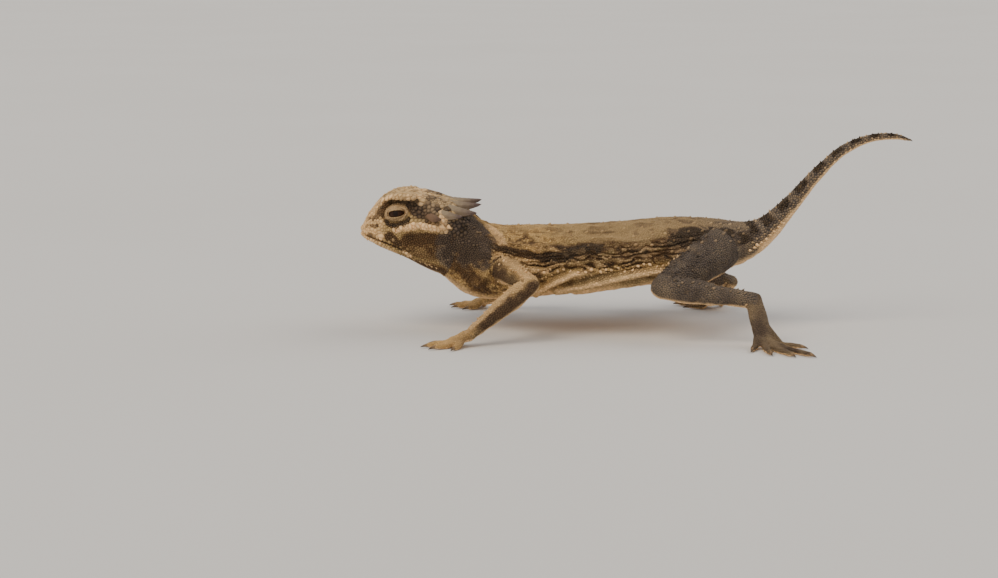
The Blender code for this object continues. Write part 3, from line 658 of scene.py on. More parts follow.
def read_points(mesh):
    points = np.zeros(len(mesh.vertices) * 3)
    normals = np.zeros(len(mesh.vertices) * 3)
    mesh.vertices.foreach_get("co", points)
    mesh.vertices.foreach_get("normal", normals)
    return points.reshape(-1, 3), normals.reshape(-1, 3)


def write_points(mesh, points):
    mesh.vertices.foreach_set("co", points.ravel())
    mesh.update()


def near_path(points, path):
    """Distance of each point from a broken line."""
    best = np.full(len(points), 1e9)
    for a, b in zip(path, path[1:]):
        a, b = np.array(a), np.array(b)
        t = np.clip((points - a) @ (b - a) / ((b - a) @ (b - a)), 0, 1)
        best = np.minimum(best, np.linalg.norm(points - a - t[:, None] * (b - a), axis=1))
    return best


# Folds of loose skin on each flank: x and z of its ridge, height and half width.
FOLDS = (
    (((-11.3, 4.6), (-9.3, 6.0), (-7.4, 7.0), (-5.2, 7.35)), 0.55, 0.4),
    (((-9.2, 4.95), (-6.0, 5.6), (-2.0, 6.7), (0.6, 7.2), (4.2, 7.7)), 0.55, 0.4),
    (((-7.0, 4.3), (-3.0, 5.3), (1.5, 6.3)), 0.25, 0.45),
    (((-15.0, 9.6), (-11.0, 9.5), (-6.5, 9.2), (-2.0, 9.35)), 0.3, 0.5),
    (((-6.0, 10.0), (-2.0, 10.3), (2.0, 10.6)), 0.25, 0.6),
    (((-12.5, 8.4), (-8.5, 8.35), (-4.0, 8.5), (1.0, 9.0)), 0.26, 0.4),
    (((-17.6, 5.6), (-16.2, 7.4), (-15.6, 9.2)), 0.25, 0.5),
)


def ramp(value, low, high):
    return np.clip((value - low) / (high - low), 0, 1)


def folds(body):
    """For each fold: its height, the distance from its ridge in half widths, and its strength,
    which fades towards its rear end."""
    flat = body.points * (1.0, 0.0, 1.0)
    for line, height, half in FOLDS:
        away = near_path(flat, [(x, 0.0, z) for x, z in line]) / half
        fade = min(2.0, (line[-1][0] - line[0][0]) / 3)
        yield height, away, ramp(line[-1][0] - body.x, 0.0, fade)


LATTICE_CELLS = 32
LATTICE_MIDDLE = 96.5  # keeps all points of the body on the positive side
LATTICE = np.random.default_rng(11).uniform(-1, 1, (LATTICE_CELLS,) * 3)


def bumps(points, size):
    """Soft random lumps, size across along each axis: one value from -1 to 1 for each point."""
    scaled = points / size + LATTICE_MIDDLE
    cell = np.floor(scaled).astype(int)
    t = scaled - cell
    t = t * t * (3 - 2 * t)
    total = np.zeros(len(points))
    for corner in itertools.product((0, 1), repeat=3):
        at = (cell + corner) % LATTICE_CELLS
        share = np.where(corner, t, 1 - t).prod(axis=1)
        total += share * LATTICE[at[:, 0], at[:, 1], at[:, 2]]
    return total


CREASE_SPACING = 0.6


def creases(body):
    """Wavy creases that run along the flanks: 0 in a crease, up to 1 on the skin between."""
    around = np.radians(body.angle) * 4.4
    flat = np.stack([body.x, around, np.sign(body.y) * 7.0], axis=1)
    bend = 0.7 * bumps(flat, np.array((3.2, 1.8, 1.0)))
    bend += 0.65 * bumps(flat + 31, np.array((1.0, 0.8, 1.0)))
    wave = np.abs(np.sin(math.pi * (around + bend) / CREASE_SPACING))
    along_lines = ramp(bumps(flat + 57, np.array((1.5, 0.7, 1.0))), -0.5, 0.1)
    along_lines *= 1 - ramp(wave, 0.1, 0.8)
    bend = 1.2 * bumps(flat + 83, np.array((1.6, 1.2, 1.0)))
    wave = np.abs(np.sin(math.pi * (0.75 * body.x + 0.9 * around + bend) / 1.7))
    across_lines = ramp(bumps(flat + 71, np.array((2.0, 1.2, 1.0))), 0.0, 0.4)
    across_lines *= 1 - ramp(wave, 0.08, 0.35)
    return 1 - np.maximum(along_lines, 0.7 * across_lines)


def looseness(body):
    """How loose the skin is, from 0 to 1: the flanks behind the shoulder are the loosest."""
    across = np.exp(-(((body.degrees - 77) / 22) ** 2))
    lengthwise = np.clip((body.x + 17.5) / 3, 0, 1) * np.clip((10 - body.x) / 4, 0, 1)
    return body.trunk * across * lengthwise


# The lobe on each side of the neck, and the crease behind it: x, and angle in tens of degrees.
NECK_LOBE = ((-18.2, 3.6), (-17.4, 5.4), (-17.8, 7.4))
NECK_EDGE = ((-17.4, 1.4), (-16.1, 3.0), (-15.3, 4.8), (-15.3, 6.6), (-16.4, 8.8))


def sculpt(skin, skeleton):
    """Sets the skin inside the outline, and carves its folds, mouth, nostrils and eye sockets."""
    points, normals = read_points(skin.data)
    body = read_body(skeleton, points)
    lift = np.full(len(points), -COAT_DEPTH)
    lift[body.head] = -0.07
    lift[body.foot] = -0.05
    wave = bumps(points, 1.8)
    there = body.trunk * np.clip((np.abs(body.y) - 2.5) / 1.5, 0, 1)
    for height, away, strength in folds(body):
        ridge = np.exp(-((away + 0.35 * wave) ** 2))
        crease = np.exp(-((away - 1.8) ** 2) / 0.35) * 0.4
        lift += there * strength * height * (ridge - crease)
    loose = looseness(body)
    stretch = np.array((5.0, 1.6, 1.3))
    lift += loose * (0.36 * (creases(body) - 0.72) + 0.28 * bumps(points, stretch))
    flat = np.stack([body.x, body.degrees / 10, np.zeros(len(points))], axis=1)
    edge = near_path(flat, [(x, high, 0.0) for x, high in NECK_EDGE])
    lobe = near_path(flat, [(x, high, 0.0) for x, high in NECK_LOBE])
    lobe_rise = 0.22 * np.exp(-((lobe / 1.3) ** 2))
    lift += body.trunk * (lobe_rise - 0.42 * np.exp(-((edge / 0.42) ** 2)))
    lift += 0.05 * bumps(points, 0.5) * body.trunk + 0.03 * bumps(points, 0.8)
    shoulder = body.trunk * np.exp(-(((body.degrees - 42) / 14) ** 2))
    lift += 0.2 * shoulder * bumps(points, np.array((1.9, 1.4, 1.4)))
    lift += 0.08 * bumps(points, 0.75) * body.limb
    lift += head_relief(body)
    moved = points + normals * lift[:, None]
    open_sockets(moved, body)
    moved[:, 2] = np.maximum(moved[:, 2], 0.02)
    write_points(skin.data, moved)


SOCKET_MARGIN = 0.3  # how far the socket goes on past the opening between the lids
SOCKET_DEPTH = 0.9
EYEBALL_COVER = 0.08  # thickness of the skin over the rest of the eyeball


def open_sockets(moved, body):
    """Sinks the skin behind the lids' opening, and lifts it over the rest of the eyeball."""
    for side, _ in SIDES:
        middle, length, outward, high = (np.array(v) for v in eye_frame(side))
        away = moved - middle
        a, b, c = away @ length, away @ high, away @ outward
        near = body.head & (c > -1.5)
        ratio = np.hypot(a / (SLIT[0] + SOCKET_MARGIN), b / (SLIT[1] + SOCKET_MARGIN))
        inside = near & (ratio < 1)
        floor = EYE_FRONT - 0.3 - SOCKET_DEPTH * (1 - ratio**4)
        push = np.where(inside, np.minimum(0.0, floor - c), 0.0)
        wide = a * a + b * b
        ball_front = np.sqrt(np.maximum(EYEBALL_RADIUS**2 - wide, 0))
        cover = EYE_FRONT - EYEBALL_RADIUS + ball_front + EYEBALL_COVER
        over = near & ~inside & (wide < 1.35)
        push = np.where(over, np.maximum(0.0, cover - c), push)
        moved += push[:, None] * outward


# Lines along the hollow under the brow and across the hollow of the temple.
UNDER_BROW = ((6.6, 3.0, 2.35), (5.2, 3.5, 2.65), (4.1, 3.8, 2.85))
TEMPLE = ((4.0, 3.9, 2.4), (3.0, 4.3, 2.1))


def head_relief(body):
    """How much the skin of the head stands out or in, for mouth, nostrils and eye sockets."""
    points = body.points
    groove = near_path(points, mouth_path(0.0))
    lift = -0.16 * np.exp(-((groove / 0.13) ** 2))
    lift += 0.1 * np.exp(-(((groove - 0.36) / 0.2) ** 2))
    for side, _ in SIDES:
        nostril = np.array(head_point(NOSTRIL[0], NOSTRIL[1] * side, NOSTRIL[2]))
        away = np.linalg.norm(points - nostril, axis=1)
        lift -= 0.32 * np.exp(-((away / 0.17) ** 2))
        lift += 0.1 * np.exp(-(((away - 0.36) / 0.12) ** 2))
        ratio, out = eye_distance(points, side)
        socket = np.exp(-(((ratio - 1.05) / 0.3) ** 2)) * (ratio < 1.05) + (ratio >= 1.05) * np.exp(
            -(((ratio - 1.05) / 0.22) ** 2)
        )
        lift -= 0.36 * socket * (out > -1.5)
        brow = [head_point(f, (y + radius) * side, u + 0.3 * radius) for f, y, u, radius in BROW]
        lift += 0.2 * np.exp(-((near_path(points, brow) / 0.28) ** 2))
        under = [head_point(f, y * side, u) for f, y, u in UNDER_BROW]
        lift -= 0.32 * np.exp(-((near_path(points, under) / 0.32) ** 2))
        temple = [head_point(f, y * side, u) for f, y, u in TEMPLE]
        lift -= 0.25 * np.exp(-((near_path(points, temple) / 0.7) ** 2))
    return lift * body.head


def eye_distance(points, side):
    """For each point: 1 on the outer edge of the lids, less inside; and how far out it lies."""
    middle, length, outward, high = (np.array(v) for v in eye_frame(side))
    away = points - middle
    rise = away @ high
    tall = SLIT[1] + np.where(rise > 0, LID_WIDTH[1], LID_WIDTH[2])
    return np.hypot(away @ length / (SLIT[0] + LID_WIDTH[0]), rise / tall), away @ outward


def thin_out(skin):
    """Keeps the skin's faces where its shape needs them."""
    triangles = sum(len(face.vertices) - 2 for face in skin.data.polygons)
    thin = skin.modifiers.new("thin", "DECIMATE")
    thin.ratio = min(1.0, SKIN_TRIANGLES / triangles)
    apply_modifiers(skin)


# Markings and painted shade and light: how dark, pale, sandy and grey the body is at a point


# Each mark is a line of points, its half width and its strength. On the head the points are
# f and u. On the trunk they are x and the angle from the top in tens of degrees.
HEAD_DARK = (
    (((3.7, -0.95), (1.5, -0.3), (-0.6, 0.1)), 0.8, 0.6),
    (((3.4, -1.7), (0.4, -1.6), (-0.9, -1.2)), 1.0, 0.44),
    (((-0.9, 1.7), (-1.0, 0.4), (-1.1, -1.4)), 0.8, 0.62),
    (((-2.0, 2.6), (-2.1, 0.6), (-2.0, -2.0)), 1.1, 0.64),
    (((8.45, -0.25), (7.3, 0.35)), 0.15, 0.6),
    (((8.4, -0.95), (7.1, -0.5)), 0.15, 0.55),
    (((7.9, -1.75), (7.2, -1.8)), 0.22, 0.6),
    (((2.7, 3.0), (1.5, 2.95)), 0.5, 0.4),
    # Painted shadow: a dark crescent in the socket below and behind the lids.
    (((6.5, 0.25), (6.0, -0.05), (5.05, 0.12), (4.3, 0.75), (4.0, 1.3)), 0.24, 0.95),
    # Painted shadow: a dark line under the overhanging brow ridge.
    (((6.4, 2.4), (5.5, 2.75), (4.6, 2.95), (3.7, 3.3)), 0.24, 0.9),
    (((4.3, 2.6), (3.2, 2.35)), 0.8, 0.72),
    (((7.5, 0.3), (7.3, 1.3), (6.8, 2.1)), 0.34, 0.52),
    (((6.9, 0.6), (6.75, 1.5), (6.2, 2.2), (5.4, 2.45)), 0.26, 0.6),
    (((5.7, -1.2), (4.4, -1.75)), 0.5, 0.68),
    (((2.3, 2.05), (1.4, 2.0)), 0.5, 0.5),
    (((8.2, -2.03), (5.85, -2.1), (3.9, -2.3)), 0.11, 0.8),
    # Painted shadows: two dark spots between the bases of the horns.
    (((0.2, 3.35),), 0.36, 0.85),
    (((1.25, 3.15),), 0.34, 0.85),
    (((2.6, 4.1), (1.6, 4.3)), 0.35, 0.4),
)
HEAD_PALE = (
    (((5.0, -0.25), (3.55, 0.65), (2.7, 1.0), (0.75, 1.2), (-0.4, 1.5)), 0.4, 0.95),
    (((0.3, 1.75), (0.6, 2.8)), 0.5, 0.8),
    (((6.6, -1.55),), 0.4, 0.9),
    (((8.2, -0.7), (7.2, -0.2)), 0.6, 0.5),
    (((3.9, -2.35), (2.85, -2.72)), 0.2, 1.0),
    (((5.05, -1.48),), 0.22, 0.5),
    (((6.9, 2.6), (5.6, 3.2), (4.4, 3.65), (3.2, 3.9)), 0.3, 0.6),
    (((8.3, -2.4), (4.4, -2.75)), 0.22, 0.5),
)
HEAD_GREY = (
    (((4.3, 2.85), (3.0, 2.3)), 0.9, 0.5),
    (((2.4, 4.15), (0.8, 4.0)), 0.9, 0.55),
    (((3.0, 3.1), (1.5, 3.0)), 0.6, 0.7),
    (((3.9, 4.5), (3.1, 4.6)), 0.4, 0.8),
    (((-0.5, 1.6), (-0.5, 0.0), (-0.9, -2.0)), 1.0, 0.8),
    (((-2.0, 2.6), (-2.1, 0.6), (-2.0, -2.0)), 1.3, 0.8),
)
TRUNK_DARK = (
    (((-20.2, 10.6), (-18.6, 11.8), (-17.4, 12.8)), 1.5, 0.52),
    (((-19.0, 3.2), (-18.2, 5.4), (-18.7, 8.2)), 2.45, 0.66),
    (((-15.8, 6.2), (-12.5, 6.7), (-10.3, 7.2)), 0.66, 0.9),
    (((-10.3, 7.2), (-8.4, 6.9), (-6.8, 6.0), (-4.8, 5.8)), 0.95, 1.0),
    (((-15.8, 8.4), (-14.2, 8.9)), 0.55, 0.6),
    (((4.6, 5.6), (6.0, 5.2), (8.8, 5.4)), 1.7, 1.0),
    (((-13.6, 1.5), (-12.9, 2.0)), 0.7, 0.22),
    (((-9.8, 1.4), (-8.9, 2.0)), 0.7, 0.29),
    (((-4.9, 1.4), (-4.2, 2.0)), 0.7, 0.27),
    (((0.1, 1.4), (0.7, 2.0)), 0.7, 0.3),
    (((4.7, 1.4), (5.3, 2.0)), 0.7, 0.34),
    (((-4.0, 5.0), (-0.5, 5.6), (2.5, 5.3)), 0.4, 0.4),
    (((-2.0, 7.3), (1.5, 7.6), (5.0, 7.4)), 0.5, 0.65),
)
TRUNK_PALE = (
    (((-16.4, 1.8), (-15.3, 3.8), (-15.0, 5.4)), 0.55, 0.55),
    (((-13.0, 9.0), (-10.5, 9.1)), 0.5, 0.45),
)
TRUNK_GREY = ((((-19.0, 3.2), (-18.2, 5.4), (-18.7, 8.2)), 2.5, 0.75),)


def marked(across, high, marks, wobble):
    """How strongly any of the marks shows at each point."""
    flat = np.stack([across, high, np.zeros(len(across))], axis=1)
    shown = np.zeros(len(across))
    for line, half, strength in marks:
        path = [(a, b, 0.0) for a, b in line]
        path.append((line[-1][0] + 0.01, line[-1][1], 0.0))
        distance = near_path(flat, path) / half + 0.4 * wobble
        shown = np.maximum(shown, strength * (1 - ramp(distance, 0.72, 1.22)))
    return shown


def markings(body, normals):
    """Four values from 0 to 1 for each point: dark, pale, sandy and grey."""
    wobble = bumps(body.points, 0.7) + 0.5 * bumps(body.points, 0.33)
    blotch = bumps(body.points, 1.6)
    values = trunk_markings(body, wobble)
    for where, others in (
        (body.head, head_markings(body, wobble)),
        (body.tail, tail_markings(body)),
        (body.limb, limb_markings(body, wobble, blotch)),
        (body.foot, foot_markings(body, normals, blotch)),
    ):
        values = [np.where(where, other, value) for value, other in zip(values, others)]
    dark, pale, sandy, grey = values
    dark = dark + 0.1 * wobble
    pale = pale + 0.1 * bumps(body.points + 50, 0.5)
    return np.clip(np.stack([dark, pale, sandy, grey], axis=1), 0, 1)


TAIL_BAND = 0.66  # one dark saddle and the pale skin to the next, in places of TRUNK


def tail_markings(body):
    """Dark saddles over a grey tail, and a pale underside."""
    band = 0.5 + 0.5 * np.cos(body.place * 2 * math.pi / TAIL_BAND)
    saddle = ramp(band, 0.25, 0.5) * (1 - ramp(body.degrees, 62, 88))
    pale = 0.04 + 0.96 * ramp(body.degrees, 112 - 14 * (body.place < 10), 122)
    return 0.2 + 0.78 * saddle, pale, 0.0, 1.0


def limb_markings(body, wobble, blotch):
    """Grey hind legs; sandy forelegs with a dark side; pale undersides."""
    lower = body.region == LOWER_LIMB
    hind = body.leg >= FIRST_HINDLEG
    ragged = body.degrees + 14 * wobble
    fore_side = ramp(ragged, 35, 75) * (1 - ramp(ragged, 115, 145))
    hind_dark = 0.38 - 0.1 * lower + 0.3 * blotch
    dark = np.where(hind, hind_dark, 0.1 + 0.42 * fore_side + 0.2 * blotch)
    dark *= 1 - 0.7 * ramp(body.place, 0.8, 1.0) * lower * ~hind
    # A paler top on the forelegs: partly their own pale granules, partly a painted highlight.
    pale_top_and_highlight = np.where(hind, 0.0, 0.4 * (1 - ramp(ragged, 35, 60)))
    pale = np.maximum(ramp(body.degrees, 132, 155), pale_top_and_highlight)
    sandy = np.where(hind, 0.0, 1 - 0.8 * ramp(ragged, 45, 75))
    return dark, pale, sandy, np.where(hind, 1.0, 0.25)


def foot_markings(body, normals, blotch):
    """Dark grey hind feet, sandy hands, and pale soles."""
    hind = body.leg >= FIRST_HINDLEG
    dark = np.where(hind, 0.28, 0.08) + 0.3 * blotch
    pale = np.maximum(ramp(-normals[:, 2], 0.2, 0.7), 0.2 * ~hind)
    return dark, pale, np.where(hind, 0.25, 1.0), np.where(hind, 0.7, 0.0)


def head_markings(body, wobble):
    wide = ramp(np.abs(body.y), 0.9, 1.6)
    dark, pale, grey = (
        wide * marked(body.f, body.u, marks, wobble) for marks in (HEAD_DARK, HEAD_PALE, HEAD_GREY)
    )
    throat = 1 - ramp(body.u, -3.3, -2.6)
    dark = np.maximum(dark, 0.55 * throat * (1 - ramp(body.f, 3.0, 5.5)))
    middle = throat * (1 - ramp(np.abs(body.y), 0.8, 2.4))
    dark = dark * (1 - 0.9 * middle)
    pale = np.maximum(pale, 0.75 * middle)
    snout = ramp(body.f, 5.6, 7.4) * (body.u < 2.4)
    crown = ramp(body.u, 2.3, 3.1)
    behind = 1 - ramp(body.f, 1.5, 4.5)
    pale = np.maximum(pale, np.maximum(0.58 * snout, (0.38 - 0.12 * behind) * crown))
    sandy = np.maximum(snout, 0.3 * (1 - 0.5 * crown))
    pale = pale * (1 - 0.8 * ramp(dark, 0.2, 0.5))
    for side, _ in SIDES:
        ratio, out = eye_distance(body.points, side)
        lid = (1 - ramp(ratio, 0.95, 1.08)) * (out > -1.2)
        groove = 0.1 + 0.34 * np.exp(-(((ratio - 0.72) / 0.09) ** 2))
        dark, pale, sandy, grey = (
            a + (b - a) * lid for a, b in zip((dark, pale, sandy, grey), (groove, 0.4, 0.0, 0.55))
        )
    return dark, pale, sandy, grey


def trunk_markings(body, wobble):
    high = body.degrees / 10
    strong = marked(body.x, high, TRUNK_DARK, wobble)
    dark = strong
    pale = marked(body.x, high, TRUNK_PALE, wobble)
    grey = marked(body.x, high, TRUNK_GREY, wobble)
    loose = looseness(body)
    crease = creases(body)
    mottle = bumps(body.points, 0.9)
    side_on = ramp(high, 4.7, 5.6) * (1 - ramp(high, 8.2, 9.0))
    back = ramp(body.x, -12.5, -8)
    dark = np.maximum(dark, side_on * (0.46 + 0.34 * back) * (1 + 0.6 * wobble))
    dark = np.maximum(dark, 0.28 * ramp(high, 9.4, 9.9) * (1 - ramp(high, 11.2, 12.2)))
    # Darker in the creases and lighter between them: partly the skin's own colour, partly painted
    # shade in the creases and painted highlight on the crests.
    dark = np.maximum(dark, np.minimum(1.5 * loose, 1) * 0.85 * (1 - ramp(crease, 0.1, 0.75)))
    dark = dark * (1 - 0.5 * loose * ramp(crease, 0.8, 1.0))
    front = 1 - ramp(body.x, -11, -5)
    reticle = np.abs(bumps(body.points + 9, np.array((0.75, 0.6, 0.5))))
    dark = np.maximum(dark, 0.5 * front * (1 - ramp(reticle, 0.05, 0.3)) * ramp(high, 1.5, 3.5))
    dark = np.maximum(dark, 0.35 * ramp(mottle, 0.2, 0.6))
    chest = 1.5 * (1 - ramp(body.x, -13, -9))
    pale = np.maximum(pale, 0.95 * ramp(high, 12.2 + chest, 14.2 + chest))
    # Paler crests of the loose skin: partly their own colour, partly a painted highlight.
    pale = np.maximum(pale, 0.4 * loose * ramp(crease, 0.75, 1.0) * ramp(mottle, -0.3, 0.4))
    for height, away, strength in folds(body):
        ridge = strength * np.exp(-((away / 0.7) ** 2)) * (np.abs(body.y) > 3)
        pale = np.maximum(pale, 0.85 * ridge * (height > 0.3) * (high > 7.5))
        dark = dark * (1 - 0.7 * ridge)
    # broken: the strong marks weaker on the crests of the loose skin, a painted highlight there.
    broken = 1 - 0.15 * np.minimum(1.5 * loose, 1) * ramp(crease, 0.55, 1.0)
    dark = np.maximum(dark, strong * broken)
    pale = pale * (1 - 0.85 * strong * broken)
    sandy = np.maximum(front * (0.5 + 0.5 * ramp(mottle, -0.4, 0.3)), 0.35 * (high < 5))
    sandy = np.maximum(sandy, 0.6 * np.exp(-(((high - 9.2) / 0.9) ** 2)) * (body.x < 4))
    grey = np.maximum(grey, 0.85 * ramp(body.x, 2, 10))
    grey = np.maximum(grey, 0.3 * ramp(body.x, -10, 2) * (high < 5))
    return dark, pale, sandy, grey


# Coat: scales, spines and plates


# Sides, length and width of the shoulder as shares of the scale, and the heights of shoulder
# and peak, how far the peak leans back and how much the back edge lifts, all in scale radii.
KINDS = {
    "granule": (7, 0.91, 0.91, 0.27, 0.46, 0.08, 0.15),
    "keeled": (7, 1.0, 0.91, 0.22, 0.46, 0.5, 0.5),
    "plate": (10, 0.91, 0.91, 0.25, 0.35, 0.0, 0.05),
    "spine": (8, 0.5, 0.46, 0.62, 1.9, 0.95, 0.2),
    "thorn": (8, 0.56, 0.46, 0.55, 1.25, 0.8, 0.25),
    "flat": (8, 0.94, 0.92, 0.16, 0.22, 0.2, 0.4),
}
KIND_NAMES = tuple(KINDS)
TRIED_PLACES = 900000  # random points of the skin, of which the small scales take a share


class Coat:
    """Scales that stand on the skin, first as rows of numbers and then as meshes."""

    def __init__(self, skin):
        mesh = skin.data
        mesh.calc_loop_triangles()
        points, _ = read_points(mesh)
        faces = np.zeros(len(mesh.loop_triangles) * 3, int)
        mesh.loop_triangles.foreach_get("vertices", faces)
        self.faces = faces.reshape(-1, 3)
        self.corners = points[self.faces]
        self.tree = BVHTree.FromPolygons(points.tolist(), faces.reshape(-1, 3).tolist())
        self.rows = []

    def add(self, kind, point, back, radius, tip=None, tall=1.0, glow=0.0):
        """One larger scale on the skin nearest to a point. tip turns it off the skin's normal."""
        root, normal, _, _ = self.tree.find_nearest(point)
        if tip is not None:
            normal = (normal + tip).normalized()
        self.rows.append((root, normal, back, radius, KIND_NAMES.index(kind), tall, glow))

    def scatter(self, draw, count):
        """Random points all over the skin, with their normals."""
        a, b, c = (self.corners[:, k] for k in range(3))
        cross = np.cross(b - a, c - a)
        area = np.linalg.norm(cross, axis=1)
        picked = draw.choice(len(area), size=count, p=area / area.sum())
        r1, r2 = np.sqrt(draw.random(count)), draw.random(count)
        weights = np.stack([1 - r1, r1 * (1 - r2), r1 * r2], axis=1)
        points = np.einsum("nk,nkd->nd", weights, self.corners[picked])
        return points, cross[picked] / area[picked][:, None], self.faces[picked, 0]

    def fill(self, skeleton, skin_body, draw):
        """Fills the skin between the larger scales with small ones, as close as they fit."""
        points, normals, corner = self.scatter(draw, TRIED_PLACES)
        body = Body(skeleton, points, skin_body.station[corner])
        spacing, kind = small_scale_kinds(body)
        free = ~bare_skin(body)
        tree = KDTree(len(points))
        for k, point in enumerate(points.tolist()):
            tree.insert(point, k)
        tree.balance()
        for root, _, _, radius, *_ in self.rows:
            for _, k, _ in tree.find_range(root, radius + 0.05):
                free[k] = False
        chosen = []
        for k, point in enumerate(points.tolist()):
            if free[k]:
                chosen.append(k)
                for _, other, _ in tree.find_range(point, spacing[k]):
                    free[other] = False
        self.root = np.concatenate([np.array([row[0] for row in self.rows]), points[chosen]])
        self.normal = np.concatenate([np.array([row[1] for row in self.rows]), normals[chosen]])
        self.lie = np.concatenate([np.array([row[2] for row in self.rows]), body.lie[chosen]])
        tall = draw.normal(1, 0.15, len(points)).clip(0.6, 1.5)
        extra = np.stack([0.62 * spacing, kind, tall, np.zeros(len(points))], axis=1)[chosen]
        rows = np.array([row[3:] for row in self.rows])
        self.radius, kind, self.tall, self.glow = np.concatenate([rows, extra]).T
        self.kind = kind.astype(int)
        self.body = read_body(skeleton, self.root)
        self.marks = markings(self.body, self.normal)
        self.glow = np.where(self.body.tail, self.glow * (1 - self.marks[:, 0]), self.glow)
        self.marks[:, 1] = np.clip(self.marks[:, 1] + self.glow, 0, 1)
        self.marks[:, 0] *= 1 - np.clip(self.glow, 0, 1)
        self.tone = draw.random(len(self.root))
        mixed = self.body.head & (self.body.u > 1.3) & (self.tone < 0.25) & (self.glow < 0.1)
        self.marks[mixed, 0] = np.clip(self.marks[mixed, 0] + 0.3, 0, 1)
        self.find_frames(draw)
        self.find_neighbours()

    def find_frames(self, draw):
        """Directions back, across and out from the skin at each scale."""
        out = self.normal / np.linalg.norm(self.normal, axis=1, keepdims=True)
        back = self.lie - out * (self.lie * out).sum(1, keepdims=True)
        back /= np.maximum(np.linalg.norm(back, axis=1, keepdims=True), 1e-9)
        spin = draw.normal(0, 0.1, len(out))[:, None]
        back = back * np.cos(spin) + np.cross(out, back) * np.sin(spin)
        self.axes = np.stack([back, np.cross(out, back), out], axis=1)

    def find_neighbours(self):
        """The scales round each scale: their offsets in its own frame, and their radii."""
        count = 13  # the scale itself and its twelve nearest
        tree = KDTree(len(self.root))
        for k, root in enumerate(self.root.tolist()):
            tree.insert(root, k)
        tree.balance()
        near = np.array([[k for _, k, _ in tree.find_n(r, count)] for r in self.root.tolist()])
        offset = self.root[near[:, 1:]] - self.root[:, None]
        flat = np.einsum("nkd,nad->nka", offset, self.axes)
        opposed = np.einsum("nkd,nd->nk", self.normal[near[:, 1:]], self.normal) < 0.2
        self.offset = flat[..., :2]
        share = self.radius[:, None] / (self.radius[:, None] + self.radius[near[:, 1:]])
        self.border = share * (self.offset**2).sum(2) + opposed * 1e3

    def reach(self, own, directions):
        """How far each scale reaches in some directions before it meets its neighbours."""
        facing = np.einsum("nkd,jd->nkj", self.offset[own], directions)
        border = self.border[own][..., None]
        distance = np.where(facing > 1e-4, border / np.maximum(facing, 1e-4), 9)
        return np.minimum(distance.min(axis=1), 1.3 * self.radius[own][:, None])

    def shape(self, kind, own):
        """Points and triangles of the scales of one kind: a foot, a shoulder and a peak each."""
        sides, long_share, wide_share, shoulder, peak, lean, lift = KINDS[kind]
        turn = 2 * math.pi * np.arange(sides) / sides
        directions = np.stack([np.cos(turn), np.sin(turn)], axis=1)
        foot = (self.reach(own, directions) * 0.96)[..., None] * directions
        radius = self.radius[own][:, None]
        tall = self.tall[own][:, None]
        height = np.full((len(own), sides), -0.15) * radius
        foot = np.concatenate([foot, height[..., None]], axis=2)
        top = foot * (long_share, wide_share, 1.0)
        top[..., 0] += 0.25 * lean * radius
        top[..., 2] = shoulder * radius * tall * (1 + lift * directions[:, 0])
        tip = np.stack([lean * radius * tall, 0 * radius, peak * radius * tall], axis=2)
        local = np.concatenate([foot, top, tip], axis=1)
        placed = self.root[own][:, None] + np.einsum("npa,nad->npd", local, self.axes[own])
        ring = np.arange(sides)
        after = (ring + 1) % sides
        walls = np.stack([ring, after, after + sides, ring, after + sides, ring + sides], axis=1)
        cap = np.stack([ring + sides, after + sides, np.full(sides, 2 * sides)], axis=1)
        base = np.stack([np.zeros(sides - 2, int), after[1:-1], ring[1:-1]], axis=1)
        faces = np.concatenate([walls.reshape(-1, 3), cap, base])
        level = np.concatenate([np.zeros(sides), np.full(sides, 0.5), np.ones(1)])
        return placed, faces, local[..., :2] / (2 * radius[..., None]), level

    def mesh(self, name, chosen):
        """One object of the chosen scales, with their markings and their baking map."""
        parts, faces, maps, marks, start = [], [], [], [], 0
        places = unwrap(self.body, chosen)
        for number, kind in enumerate(KIND_NAMES):
            own = chosen[self.kind[chosen] == number]
            if not len(own):
                continue
            placed, triangles, local, level = self.shape(kind, own)
            count = placed.shape[1]
            parts.append(placed.reshape(-1, 3))
            index = start + (np.arange(len(own)) * count)[:, None, None] + triangles
            faces.append(index.reshape(-1, 3))
            maps.append((places[own][:, None] + 0.003 * local).reshape(-1, 2))
            extra = np.stack(np.broadcast_arrays(self.tone[own][:, None], level[None]), axis=2)
            same = np.repeat(self.marks[own][:, None], count, axis=1)
            marks.append(np.concatenate([same, extra], axis=2).reshape(-1, 6))
            start += len(own) * count
        points = np.concatenate(parts)
        points[:, 2] = np.maximum(points[:, 2], 0.01)
        obj = mesh_from_arrays(name, points, np.concatenate(faces))
        write_marks(obj.data, np.concatenate(marks))
        loops = np.zeros(len(obj.data.loops), int)
        obj.data.loops.foreach_get("vertex_index", loops)
        layer = obj.data.uv_layers.new(name="OFBake")
        layer.data.foreach_set("uv", np.concatenate(maps)[loops].ravel())
        return obj


def mesh_from_arrays(name, points, faces):
    mesh = bpy.data.meshes.new(name)
    mesh.vertices.add(len(points))
    mesh.vertices.foreach_set("co", points.ravel())
    mesh.loops.add(faces.size)
    mesh.loops.foreach_set("vertex_index", faces.ravel())
    mesh.polygons.add(len(faces))
    mesh.polygons.foreach_set("loop_start", np.arange(0, faces.size, 3))
    mesh.update(calc_edges=True)
    mesh.validate()
    obj = bpy.data.objects.new(name, mesh)
    bpy.context.scene.collection.objects.link(obj)
    return obj


MARK_NAMES = ("dark", "pale", "sandy", "grey", "tone", "height")


def write_marks(mesh, marks):
    for k, name in enumerate(MARK_NAMES):
        layer = mesh.attributes.new(name, "FLOAT", "POINT")
        layer.data.foreach_set("value", np.ascontiguousarray(marks[:, k], np.float32))


